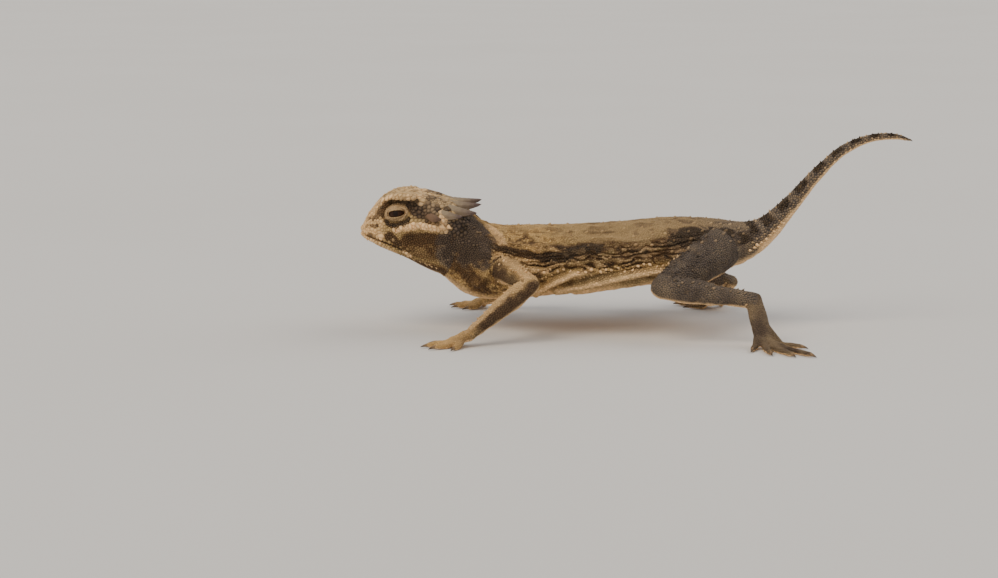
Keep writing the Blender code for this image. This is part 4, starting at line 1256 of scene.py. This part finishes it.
def unwrap(body, chosen):
    """Where points lie on an unwrap of a piece: a strip for each length of the body, place along
    the strip and angle across it."""
    strip = (body.region + 8 * body.leg)[chosen]
    numbers = np.unique(strip)
    flat = np.zeros((len(body.points), 2))
    for k, number in enumerate(numbers):
        own = chosen[strip == number]
        for axis, values, width in ((0, body.place, 1 / len(numbers)), (1, body.angle, 1.0)):
            low, high = values[own].min(), values[own].max()
            share = 0.03 + 0.94 * (values[own] - low) / max(high - low, 1e-6)
            flat[own, axis] = (k * width if axis == 0 else 0.0) + share * width
    return flat


def bare_skin(body):
    """Where no small scale stands: on the lids, in the mouth line and in the nostrils."""
    bare = body.head & (near_path(body.points, mouth_path(0.0)) < 0.12)
    for side, _ in SIDES:
        ratio, out = eye_distance(body.points, side)
        bare |= (ratio < 0.92) & (out > -1.2)
        nostril = np.array(head_point(NOSTRIL[0], NOSTRIL[1] * side, NOSTRIL[2]))
        bare |= np.linalg.norm(body.points - nostril, axis=1) < 0.24
    return bare


def small_scale_kinds(body):
    """Spacing and kind of the small scales at each point."""
    spacing = np.choose(body.region, (0.2, 0.17, 0.19, 0.2, 0.19, 0.18, 0.15, 0.14)).astype(float)
    names = ("granule", "granule", "keeled", "keeled", "keeled", "keeled", "keeled", "granule")
    kind = np.choose(body.region, [KIND_NAMES.index(name) for name in names])
    flat = KIND_NAMES.index("flat")
    under = body.trunk & (body.degrees > 122)
    spacing[under] = 0.26
    kind[under] = flat
    kind[(body.tail | body.limb) & (body.degrees > 125)] = flat
    tail = body.tail
    spacing[tail] *= np.clip(1.3 - 0.07 * (body.place[tail] - 8), 0.68, 1.2)
    plate = KIND_NAMES.index("plate")
    crown = body.head & (body.u > 2.9)
    spacing[crown] = 0.44
    spur = body.head & (body.u > 3.6) & (body.f < 5.0) & (np.abs(body.y) > 3.1)
    temple = body.head & (body.u > 0.9) & ~crown & (body.f < 4.2)
    spacing[temple] = 0.36
    snout = body.head & (body.f > 6.2) & (body.u > -1.2)
    spacing[snout] = 0.29
    kind[crown | temple | snout] = plate
    spacing[spur] = 0.22
    kind[spur] = KIND_NAMES.index("granule")
    for side, _ in SIDES:
        ratio, out = eye_distance(body.points, side)
        near_eye = body.head & (out > -1.2) & (ratio < 1.4) & (body.u < 2.6)
        spacing[near_eye] = 0.17
        kind[near_eye] = KIND_NAMES.index("granule")
    return spacing, kind


BACK_EDGE, BELLY_EDGE = 62, 118  # degrees from the top, where back and flank end


def coat_pieces(coat):
    """Splits the scales into pieces by the part of the body they stand on."""
    body = coat.body
    pieces = {
        "scales_crown": body.head & (body.u > 1.6),
        "scales_face": body.head & (body.u <= 1.6),
        "scales_neck": body.region == NECK,
        "scales_tail": body.tail,
    }
    torso = body.region == TORSO
    for word, side_on in (("left", body.y < 0), ("right", body.y >= 0)):
        flank = (body.degrees >= BACK_EDGE) & (body.degrees < BELLY_EDGE)
        pieces[f"scales_back_{word}"] = torso & side_on & (body.degrees < BACK_EDGE)
        pieces[f"scales_flank_{word}"] = torso & side_on & flank
    pieces["scales_belly"] = torso & (body.degrees >= BELLY_EDGE)
    for number, leg in enumerate(LEGS, 1):
        pieces[f"scales_{leg}"] = (body.leg == number) & ~body.foot
        pieces[f"scales_{leg}_toes"] = (body.leg == number) & body.foot
    return {name: np.flatnonzero(own) for name, own in pieces.items()}


# Rows of larger scales


# Degrees from the top, first and last place along the trunk, count, radius, height and paleness.
TRUNK_ROWS = (
    ("thorn", 78, 2.4, 8.0, 14, 0.24, 0.8, 0.2),
    ("thorn", 60, 1.9, 8.2, 15, 0.26, 0.8, 0.15),
    ("thorn", 42, 2.0, 8.1, 15, 0.27, 0.6, 0.15),
    ("thorn", 22, 2.0, 7.9, 15, 0.27, 0.55, 0.2),
    ("spine", 92, 2.2, 6.1, 30, 0.23, 0.62, 0.7),
    ("spine", 101, 2.6, 5.9, 28, 0.16, 0.8, 0.3),
    ("thorn", 50, 0.3, 1.4, 5, 0.22, 0.8, 0.1),
    ("thorn", 74, 0.3, 1.4, 5, 0.22, 0.8, 0.1),
    ("thorn", 102, 0.3, 1.4, 5, 0.17, 0.8, 0.1),
    ("thorn", 12, 8.5, 14.4, 26, 0.19, 1.0, 0.75),
    ("thorn", 38, 8.5, 14.4, 28, 0.16, 0.9, 0.05),
    ("thorn", 62, 8.3, 14.4, 28, 0.16, 0.9, 0.05),
    ("spine", 90, 8.2, 14.2, 30, 0.16, 0.85, 0.4),
    ("spine", 106, 8.0, 9.6, 9, 0.22, 0.9, 0.9),
)


def large_scales(coat, draw):
    for kind, degrees, first, last, count, radius, tall, glow in TRUNK_ROWS:
        for side, _ in SIDES:
            for k in range(count):
                place = first + (last - first) * (k + 0.5 + draw.uniform(-0.22, 0.22)) / count
                around = 90 - degrees + draw.uniform(-2.5, 2.5)
                point, _, back = trunk_surface(place, around, side)
                size = radius * draw.uniform(0.85, 1.15)
                if place > 8:
                    size *= 1 - 0.05 * (place - 8)
                coat.add(kind, point, back, size, None, tall * draw.uniform(0.8, 1.2), glow)
    head_rows(coat, draw)
    lid_scales(coat, draw)
    limb_rows(coat, draw)


# Rows on each side of the head: place and column of HEAD at points of the row.
SUBTEMPORAL = ((4.25, 2.5), (3.2, 2.2), (2.1, 2.12), (1.0, 2.1))
CHIN = ((1.6, 3.75), (4.0, 3.8), (6.6, 3.75))
JAW = ((1.4, 3.45), (4.0, 3.4), (6.4, 3.4))
# Single scales on each side, at f and u: pale dots on the throat, and large plates on the lip
# with their radius and paleness.
GULAR_DOTS = ((0.9, -3.25), (0.35, -3.3), (-0.2, -3.3))
LIP_PLATES = ((6.6, -1.5, 0.4, 0.7), (5.05, -1.45, 0.2, 0.1))


def head_rows(coat, draw):
    for row, count, radius, droop, tall, glow in (
        (SUBTEMPORAL, 8, 0.3, 0.35, 1.0, 0.9),
        (CHIN, 14, 0.19, 0.45, 0.6, 0.35),
        (JAW, 14, 0.17, 0.3, 0.55, 0.12),
    ):
        for side, _ in SIDES:
            for k in range(count):
                place, column = read_table(row, (len(row) - 1) * (k + 0.5) / count)
                point, _, back = head_surface(place, column, side)
                tip = back * 0.3 - UPWARD * droop
                size = radius * draw.uniform(0.85, 1.15)
                coat.add("spine", point, back, size, tip, tall * draw.uniform(0.8, 1.15), glow)
    for rise, radius in ((0.3, 0.22), (-0.3, 0.2)):
        path = mouth_path(rise, 14)
        for near, far in zip(path, path[1:]):
            back = (far - near).normalized()
            coat.add("plate", (near + far) / 2, back, radius, None, 1.0, draw.uniform(0.0, 0.4))
    for side, _ in SIDES:
        for k in range(7):
            f, y, u, radius = read_table(BROW, (len(BROW) - 1) * (k + 0.5) / 9)
            point = head_point(f, (y + radius) * side, u + radius * 0.5)
            back = head_direction(-1, 0.5 * side, 0.2).normalized()
            coat.add("keeled", point, back, 0.3, ACROSS * side * 0.3, 1.0, 0.42 - 0.05 * k)
        back = head_direction(-1, 0, 0)
        for f, u, radius, glow in LIP_PLATES:
            coat.add("plate", head_point(f, 3.0 * side, u), back, radius, None, 1.0, glow)
        for f, u in GULAR_DOTS:
            coat.add("spine", head_point(f, 3.0 * side, u), back, 0.15, None, 0.45, 0.9)


# Rows of pointed scales on a length of a leg: degrees from its top towards its back, first and
# last share of its length, count, radius and paleness.
LIMB_ROWS = {
    "upper_arm": ((-40, 0.5, 0.97, 7, 0.2, 0.3), (10, 0.5, 0.95, 6, 0.2, 0.3)),
    "forearm": (
        (-80, 0.06, 0.94, 14, 0.19, 0.6),
        (-50, 0.1, 0.9, 10, 0.19, 0.4),
        (-10, 0.1, 0.9, 9, 0.17, 0.2),
        (40, 0.1, 0.9, 9, 0.17, 0.1),
    ),
    "thigh": (
        (0, 0.45, 0.95, 9, 0.2, 0.0),
        (45, 0.35, 0.95, 10, 0.2, 0.02),
        (75, 0.25, 0.95, 11, 0.18, 0.02),
        (100, 0.15, 0.95, 13, 0.18, 0.1),
    ),
    "shin": (
        (-40, 0.08, 0.92, 10, 0.2, 0.15),
        (10, 0.08, 0.92, 10, 0.2, 0.1),
        (60, 0.08, 0.92, 10, 0.18, 0.1),
        (95, 0.08, 0.92, 12, 0.18, 0.3),
    ),
}


def limb_rows(coat, draw):
    for leg, joints in LEGS.items():
        fore = leg.startswith("fore")
        names = ("upper_arm", "forearm") if fore else ("thigh", "shin")
        all_radii = (UPPER_ARM, FOREARM) if fore else (THIGH, SHIN)
        for name, radii, near, far in zip(names, all_radii, joints, joints[1:]):
            near, far = Vector(near), Vector(far)
            along, across, up = limb_frame(near, far)
            back = across if across.x > 0 else -across
            for degrees, first, last, count, radius, glow in LIMB_ROWS[name]:
                for k in range(count):
                    share = first + (last - first) * (k + 0.5 + draw.uniform(-0.2, 0.2)) / count
                    angle = math.radians(degrees + draw.uniform(-7, 7))
                    normal = up * math.cos(angle) + back * math.sin(angle)
                    point = near.lerp(far, share) + normal * read_values(radii, share)
                    size = radius * draw.uniform(0.85, 1.15)
                    coat.add("thorn", point, along, size, None, draw.uniform(0.8, 1.2), glow)


# Materials


def group_socket(group, name, kind, way):
    return group.interface.new_socket(name=name, in_out=way, socket_type=kind)


class Tree:
    """Short names for placing and joining shader nodes."""

    def __init__(self, tree):
        self.tree = tree

    def node(self, kind, values=(), **settings):
        made = self.tree.nodes.new(kind)
        for name, value in settings.items():
            setattr(made, name, value)
        for socket, value in dict(values).items():
            self.feed(made.inputs[socket], value)
        return made

    def feed(self, socket, value):
        if isinstance(value, bpy.types.NodeSocket):
            self.tree.links.new(value, socket)
        else:
            socket.default_value = value

    def math(self, operation, a, b=0.0, clamp=False):
        made = self.node("ShaderNodeMath", operation=operation, use_clamp=clamp)
        self.feed(made.inputs[0], a)
        self.feed(made.inputs[1], b)
        return made.outputs[0]

    def mix(self, share, a, b, blend="MIX"):
        made = self.node("ShaderNodeMix", data_type="RGBA", blend_type=blend)
        self.feed(made.inputs[0], share)
        self.feed(made.inputs[6], a)
        self.feed(made.inputs[7], b)
        return made.outputs[2]

    def noise(self, where, scale, detail=2.0, roughness=0.5):
        made = self.node(
            "ShaderNodeTexNoise",
            {"Vector": where, "Scale": scale, "Detail": detail, "Roughness": roughness},
        )
        return made.outputs["Fac"]

    def range(self, value, low, high):
        made = self.node("ShaderNodeMapRange", {"Value": value, "From Min": low, "From Max": high})
        return made.outputs["Result"]


TAN = (0.34, 0.235, 0.105, 1)
OLIVE = (0.22, 0.155, 0.065, 1)
SAND = (0.50, 0.30, 0.095, 1)
GREY = (0.070, 0.063, 0.060, 1)
BROWN = (0.085, 0.041, 0.014, 1)
DARK = (0.017, 0.01, 0.005, 1)
CREAM = (0.86, 0.57, 0.29, 1)


def lizard_colour_group():
    """Colour, roughness and height of skin and scales, from their markings."""
    group = bpy.data.node_groups.new("lizard_colour", "ShaderNodeTree")
    for name in ("Dark", "Pale", "Sandy", "Grey", "Tone", "Height"):
        group_socket(group, name, "NodeSocketFloat", "INPUT")
    group_socket(group, "Colour", "NodeSocketColor", "OUTPUT")
    group_socket(group, "Roughness", "NodeSocketFloat", "OUTPUT")
    group_socket(group, "Relief", "NodeSocketFloat", "OUTPUT")
    t = Tree(group)
    inputs = t.node("NodeGroupInput").outputs
    where = t.node("ShaderNodeTexCoord").outputs["Object"]
    broad = t.noise(where, 420.0, 3.0, 0.6)
    fine = t.noise(where, 2600.0, 2.0, 0.6)
    speck = t.noise(where, 1200.0, 2.0, 0.7)
    base = t.mix(t.range(broad, 0.38, 0.62), OLIVE, TAN)
    base = t.mix(t.math("MULTIPLY", inputs["Sandy"], 0.85), base, SAND)
    base = t.mix(t.math("MULTIPLY", inputs["Grey"], 0.9), base, GREY)
    edge = t.math("MULTIPLY", t.math("SUBTRACT", speck, 0.5), 0.35)
    shade = t.math("ADD", inputs["Dark"], edge)
    brown = t.range(shade, 0.05, 0.5)
    base = t.mix(brown, base, t.mix(t.math("MULTIPLY", inputs["Grey"], 0.8), BROWN, GREY))
    dark = t.range(shade, 0.45, 1.0)
    base = t.mix(dark, base, DARK)
    pale = t.range(t.math("ADD", inputs["Pale"], edge), 0.05, 0.95)
    base = t.mix(pale, base, CREAM)
    tone = t.math("MULTIPLY_ADD", inputs["Tone"], 0.45)
    t.feed(tone.node.inputs[2], 0.78)
    tones = t.node("ShaderNodeCombineColor", {0: tone, 1: tone, 2: tone}).outputs[0]
    base = t.mix(1.0, base, tones, "MULTIPLY")
    # Painted highlight: each scale paler towards its peak, less so on the brown marks.
    light = t.math("SUBTRACT", 1.0, t.math("MULTIPLY", brown, 0.7))
    tip = t.math("MULTIPLY", t.math("POWER", inputs["Height"], 2.0), 0.3)
    base = t.mix(t.math("MULTIPLY", tip, light), base, CREAM)
    outputs = t.node("NodeGroupOutput").inputs
    t.feed(outputs["Colour"], base)
    rough = t.math("MULTIPLY_ADD", fine, 0.25)
    t.feed(rough.node.inputs[2], 0.52)
    t.feed(outputs["Roughness"], rough)
    t.feed(outputs["Relief"], t.math("ADD", fine, speck))
    return group


def new_material(name):
    """A material, its nodes ready for building, and its shader."""
    made = bpy.data.materials.new(name)
    made.use_nodes = True
    return made, Tree(made.node_tree), made.node_tree.nodes["Principled BSDF"]


def marked_material(name, group, relief):
    """Skin or scales: the shared colours, read from the piece's own markings."""
    made, t, shader = new_material(name)
    colour = t.node("ShaderNodeGroup", node_tree=group)
    for mark in MARK_NAMES:
        read = t.node("ShaderNodeAttribute", attribute_name=mark)
        t.feed(colour.inputs[mark.capitalize()], read.outputs["Fac"])
    t.feed(shader.inputs["Base Color"], colour.outputs["Colour"])
    t.feed(shader.inputs["Roughness"], colour.outputs["Roughness"])
    height = colour.outputs["Relief"]
    bump = t.node("ShaderNodeBump", {"Strength": relief, "Distance": 0.00006, "Height": height})
    t.feed(shader.inputs["Normal"], bump.outputs[0])
    shader.inputs["Specular IOR Level"].default_value = 0.2
    return made


# Name, colours of root and tip, and least roughness of the horns, the last horn and the claws.
HORN_LOOKS = (
    ("horn_keratin", (0.27, 0.20, 0.12, 1), (0.09, 0.055, 0.045, 1), 0.45),
    ("horn_temple", (0.17, 0.095, 0.05, 1), (0.08, 0.04, 0.02, 1), 0.5),
    ("claw_keratin", (0.24, 0.145, 0.065, 1), (0.045, 0.027, 0.016, 1), 0.35),
)


def horn_material(name, root, tip, roughness):
    """Horn or claw: bands along its length, darker towards the tip."""
    made, t, shader = new_material(name)
    share = t.node("ShaderNodeAttribute", attribute_name="share").outputs["Fac"]
    where = t.node("ShaderNodeTexCoord").outputs["Object"]
    grain = t.noise(where, 2200.0, 3.0, 0.6)
    mixed = t.math("ADD", share, t.math("MULTIPLY", t.math("SUBTRACT", grain, 0.5), 0.5))
    colour = t.mix(t.range(mixed, 0.25, 0.85), root, tip)
    t.feed(shader.inputs["Base Color"], colour)
    t.feed(shader.inputs["Roughness"], t.math("ADD", t.math("MULTIPLY", grain, 0.3), roughness))
    bump = t.node("ShaderNodeBump", {"Strength": 0.5, "Distance": 0.00004, "Height": grain})
    t.feed(shader.inputs["Normal"], bump.outputs[0])
    return made


def eye_material():
    made, t, shader = new_material("eye_wet")
    share = t.node("ShaderNodeAttribute", attribute_name="share").outputs["Fac"]
    where = t.node("ShaderNodeTexCoord").outputs["Object"]
    streaks = t.noise(where, 3500.0, 3.0, 0.7)
    iris = t.mix(t.range(streaks, 0.4, 0.65), (0.026, 0.010, 0.004, 1), (0.048, 0.018, 0.007, 1))
    pupil = t.range(share, 0.27, 0.32)
    white = t.range(share, 0.7, 0.85)
    colour = t.mix(pupil, (0.012, 0.005, 0.003, 1), iris)
    colour = t.mix(white, colour, (0.02, 0.012, 0.008, 1))
    t.feed(shader.inputs["Base Color"], colour)
    shader.inputs["Roughness"].default_value = 0.38
    shader.inputs["Specular IOR Level"].default_value = 0.2
    return made


def floor_material():
    made, t, shader = new_material("pale_floor")
    where = t.node("ShaderNodeTexCoord").outputs["Object"]
    cloudy = t.noise(where, 14.0, 2.0, 0.5)
    colour = t.mix(cloudy, (0.70, 0.68, 0.65, 1), (0.75, 0.73, 0.70, 1))
    t.feed(shader.inputs["Base Color"], colour)
    shader.inputs["Roughness"].default_value = 0.85
    return made


# Horns, claws, eyes and lids


def write_share(mesh, values):
    layer = mesh.attributes.new("share", "FLOAT", "POINT")
    layer.data.foreach_set("value", np.array(values, np.float32))


def horn(name, root, direction, length, radius, side):
    """A horn with fine rings, a little bent upwards, its root sunk in the head."""
    bm = bmesh.new()
    base = head_point(root[0], root[1] * side, root[2])
    along = head_direction(direction[0], direction[1] * side, direction[2]).normalized()
    lift = UPWARD * HORN_LIFT * length
    across = along.cross(UPWARD).normalized()
    up = across.cross(along)
    count = 26
    rings = []
    for k in range(count):
        t = -0.22 + 1.12 * k / (count - 1)
        out = max(0.0, t)
        ripple = 1 + 0.035 * math.sin(k * 2.1 + side) * (1 - out)
        size = radius * (1 - 0.88 * out**1.3) * ripple * 0.97
        centre = base + along * length * t + lift * out * out
        rings.append(round_ring(centre, across, up, (size,) * 3, 18))
    loft(bm, rings, last=base + along * length + lift)
    obj = make_object(name, bm)
    write_share(obj.data, [held((v.co - base).dot(along) / length) for v in obj.data.vertices])
    return obj


def claws(name, leg):
    bm = bmesh.new()
    directions = {}
    for points, _, ahead in toe_lines(leg):
        end = points[-1]
        drop = UPWARD * CLAW_DROP
        across = UPWARD.cross(ahead)
        rings = []
        for k in range(8):
            t = k / 8
            centre = end - ahead * 0.12 + ahead * (CLAW_LENGTH + 0.12) * t - drop * t * t
            size = CLAW_RADIUS * (1 - 0.9 * t**1.4)
            sizes = (size * 0.8, size, size)
            rings.append(round_ring(centre, across, ahead.cross(across), sizes, 10))
        loft(bm, rings, last=end + ahead * CLAW_LENGTH - drop)
        directions[tuple(end)] = ahead
    obj = make_object(name, bm)
    values = []
    for vert in obj.data.vertices:
        end = min(directions, key=lambda point: (vert.co - Vector(point)).length)
        values.append(held((vert.co - Vector(end)).dot(directions[end]) / CLAW_LENGTH))
    write_share(obj.data, values)
    return obj


def eyeball(name, side):
    middle, length, outward, high = eye_frame(side)
    centre = middle + outward * (EYE_FRONT - EYEBALL_RADIUS)
    bm = bmesh.new()
    ball(bm, centre, (length, high, outward), (EYEBALL_RADIUS,) * 3, 40, 24)
    obj = make_object(name, bm)
    shares = []
    for vert in obj.data.vertices:
        away = vert.co - centre
        out = away.dot(outward)
        shares.append((away - outward * out).length / EYEBALL_RADIUS if out > 0 else 1.0)
    write_share(obj.data, shares)
    return obj


# Shares of a lid's width, and heights over the line from the eyeball to the skin.
LID_PROFILE = (
    (0.0, -0.3), (0.0, -0.06), (0.02, 0.07), (0.08, 0.2), (0.18, 0.27), (0.26, 0.25), (0.33, 0.28),
    (0.43, 0.3), (0.52, 0.26), (0.6, 0.25), (0.7, 0.21), (0.8, 0.12), (0.92, 0.02), (1.06, -0.12),
    (1.0, -0.4), (0.5, -0.55),
)


def lid_point(coat, side, angle, share, rise):
    """A point of the lids, from its angle round the slit and its share of their width."""
    middle, length, outward, high = eye_frame(side)
    ca, sa = math.cos(angle), math.sin(angle)
    width = LID_WIDTH[0] + (LID_WIDTH[1 if sa > 0 else 2] - LID_WIDTH[0]) * sa * sa
    roundness = 0.74 + 0.26 * held(share)
    a = (SLIT[0] + width * share) * math.copysign(abs(ca) ** roundness, ca)
    b = (SLIT[1] + width * share) * math.copysign(abs(sa) ** roundness, sa)
    flat = middle + length * a + high * b
    inner = EYE_FRONT - EYEBALL_RADIUS + math.sqrt(max(0.05, EYEBALL_RADIUS**2 - a * a - b * b))
    hit, _, _, away = coat.tree.ray_cast(flat + outward * 3.0, -outward)
    outer = 3.0 - away if hit is not None else inner
    blend = held(share) ** 1.5
    level = max(inner + (max(outer, inner - 0.6) - inner) * blend, outer - 0.05)
    return flat + outward * (level + rise)


def lids(name, side, coat):
    """Both lids as one ring round the slit, which runs out into the skin of the socket."""
    bm = bmesh.new()
    turns = 64
    angles = [2 * math.pi * k / turns for k in range(turns)]
    loops = [[lid_point(coat, side, angle, *row) for angle in angles] for row in LID_PROFILE]
    loops.append(loops[0])
    loft_ring(bm, loops)
    return make_object(name, bm)


# Rings of small scales on the lids: share of the lid's width, its height there, count, radius.
LID_ROWS = (
    (0.07, 0.2, 62, 0.055),
    (0.23, 0.26, 44, 0.1),
    (0.39, 0.29, 44, 0.11),
    (0.56, 0.26, 44, 0.12),
    (0.74, 0.17, 46, 0.125),
    (0.93, 0.02, 48, 0.13),
)


def lid_scales(coat, draw):
    for side, _ in SIDES:
        outward = eye_frame(side)[2]
        for share, rise, count, radius in LID_ROWS:
            for k in range(count):
                angle = 2 * math.pi * (k + draw.uniform(-0.2, 0.2)) / count
                point = lid_point(coat, side, angle, share, rise - 0.01)
                ahead = lid_point(coat, side, angle + 0.1, share, rise - 0.01) - point
                wider = lid_point(coat, side, angle, share + 0.08, rise - 0.01) - point
                normal = ahead.cross(wider).normalized()
                normal = (normal if normal.dot(outward) > 0 else -normal) + outward * 0.3
                grow = radius * draw.uniform(0.85, 1.1)
                kind = KIND_NAMES.index("granule")
                normal.normalize()
                coat.rows.append((point, normal, ahead.normalized(), grow, kind, 0.85, 0.05))


def loft_ring(bm, loops):
    """A closed ring of skin through loops, where the last loop is the first one again."""
    spoke, rim = start_ring(bm, loops[0])
    for points in loops[1:]:
        rim = pull_ring(bm, spoke, rim, points)
    bmesh.ops.remove_doubles(bm, verts=bm.verts, dist=1e-4)


# Putting the animal together


def finish_piece(obj, look, nodes=()):
    """Turns a piece into metres, gives it its material, and hangs it on the frame."""
    obj.data.transform(Matrix.Scale(MM, 4))
    obj.data.materials.clear()
    obj.data.materials.append(look)
    obj.data.shade_smooth()
    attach(obj, "root")
    if nodes:
        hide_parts(*nodes)


def mark_mesh(obj, body, tone, height):
    normals = read_points(obj.data)[1]
    marks = markings(body, normals)
    extra = np.full((len(normals), 2), (tone, height))
    write_marks(obj.data, np.concatenate([marks, extra], axis=1))


def build_lizard():
    skeleton = Skeleton()
    skin = join_flesh()
    sculpt(skin, skeleton)
    thin_out(skin)
    skin_body = read_body(skeleton, read_points(skin.data)[0])
    coat = Coat(skin)
    large_scales(coat, random.Random(4))
    coat.fill(skeleton, skin_body, np.random.default_rng(7))
    group = lizard_colour_group()
    skin_look = marked_material("lizard_skin", group, 0.5)
    scale_look = marked_material("lizard_scales", group, 0.35)
    # Tone 0.1 makes the skin darker than the scales on it: painted shade between the scales.
    mark_mesh(skin, skin_body, 0.1, 0.0)
    lid_objects = [lids(f"lids_{word}", side, coat) for side, word in SIDES]
    finish_piece(skin, skin_look, FLESH_NODES)
    for piece, chosen in coat_pieces(coat).items():
        obj = coat.mesh(piece, chosen)
        finish_piece(obj, scale_look)
    for obj in lid_objects:
        mark_mesh(obj, read_body(skeleton, read_points(obj.data)[0]), 0.4, 0.2)
        finish_piece(obj, skin_look)
    horn_look, temple_look, claw_look = (horn_material(*look) for look in HORN_LOOKS)
    eye_look = eye_material()
    for side, word in SIDES:
        for name, *shape in HORNS:
            obj = horn(f"{name}_{word}_fine", *shape, side)
            look = temple_look if name == "horn_temporal_3" else horn_look
            finish_piece(obj, look, [f"{name}_{word}"])
        finish_piece(eyeball(f"eyeball_{word}", side), eye_look, [f"eye_{word}"])
    for leg in LEGS:
        finish_piece(claws(f"claws_{leg}", leg), claw_look)


# Floor, light and camera


def build_stage():
    bm = bmesh.new()
    bmesh.ops.create_grid(bm, x_segments=2, y_segments=2, size=4.0)
    floor = make_object("floor", bm)
    floor.data.materials.append(floor_material())
    world = bpy.data.worlds.new("soft_room")
    bpy.context.scene.world = world
    world.use_nodes = True
    background = world.node_tree.nodes["Background"]
    background.inputs["Color"].default_value = (0.93, 0.95, 1.0, 1)
    background.inputs["Strength"].default_value = 0.5
    # Where each lamp shines from, its strength, how wide it looks in degrees and its colour.
    lamps = (
        ((-0.50, -0.62, 0.85), 2.0, 40.0, (1.0, 0.90, 0.76)),
        ((0.70, 0.30, 0.75), 0.9, 55.0, (1.0, 0.96, 0.90)),
    )
    for k, (place, strength, width, colour) in enumerate(lamps, 1):
        data = bpy.data.lights.new(f"lamp_{k}", "SUN")
        data.energy = strength
        data.angle = math.radians(width)
        data.color = colour
        lamp = bpy.data.objects.new(f"lamp_{k}", data)
        lamp.rotation_mode = "QUATERNION"
        lamp.rotation_quaternion = Vector(place).to_track_quat("Z", "Y")
        bpy.context.scene.collection.objects.link(lamp)


# The camera looks along +Y and a little down at this point, from this distance.
VIEW_POINT = Vector((-0.0153, 0.0, 0.00424))
VIEW_DISTANCE = 0.25
VIEW_DOWN = math.radians(9.0)
FOCAL_PIXELS, IMAGE_WIDTH, SENSOR = 2250.0, 998.0, 36.0


def build_camera():
    data = bpy.data.cameras.new("camera")
    data.sensor_width = SENSOR
    data.lens = SENSOR * FOCAL_PIXELS / IMAGE_WIDTH
    data.clip_start = 0.01
    data.clip_end = 20.0
    camera = bpy.data.objects.new("camera", data)
    back = Vector((0.0, -math.cos(VIEW_DOWN), math.sin(VIEW_DOWN)))
    camera.location = VIEW_POINT + back * VIEW_DISTANCE
    camera.rotation_mode = "QUATERNION"
    camera.rotation_quaternion = (-back).to_track_quat("-Z", "Y")
    bpy.context.scene.collection.objects.link(camera)
    bpy.context.scene.camera = camera


build_lizard()
build_stage()
build_camera()
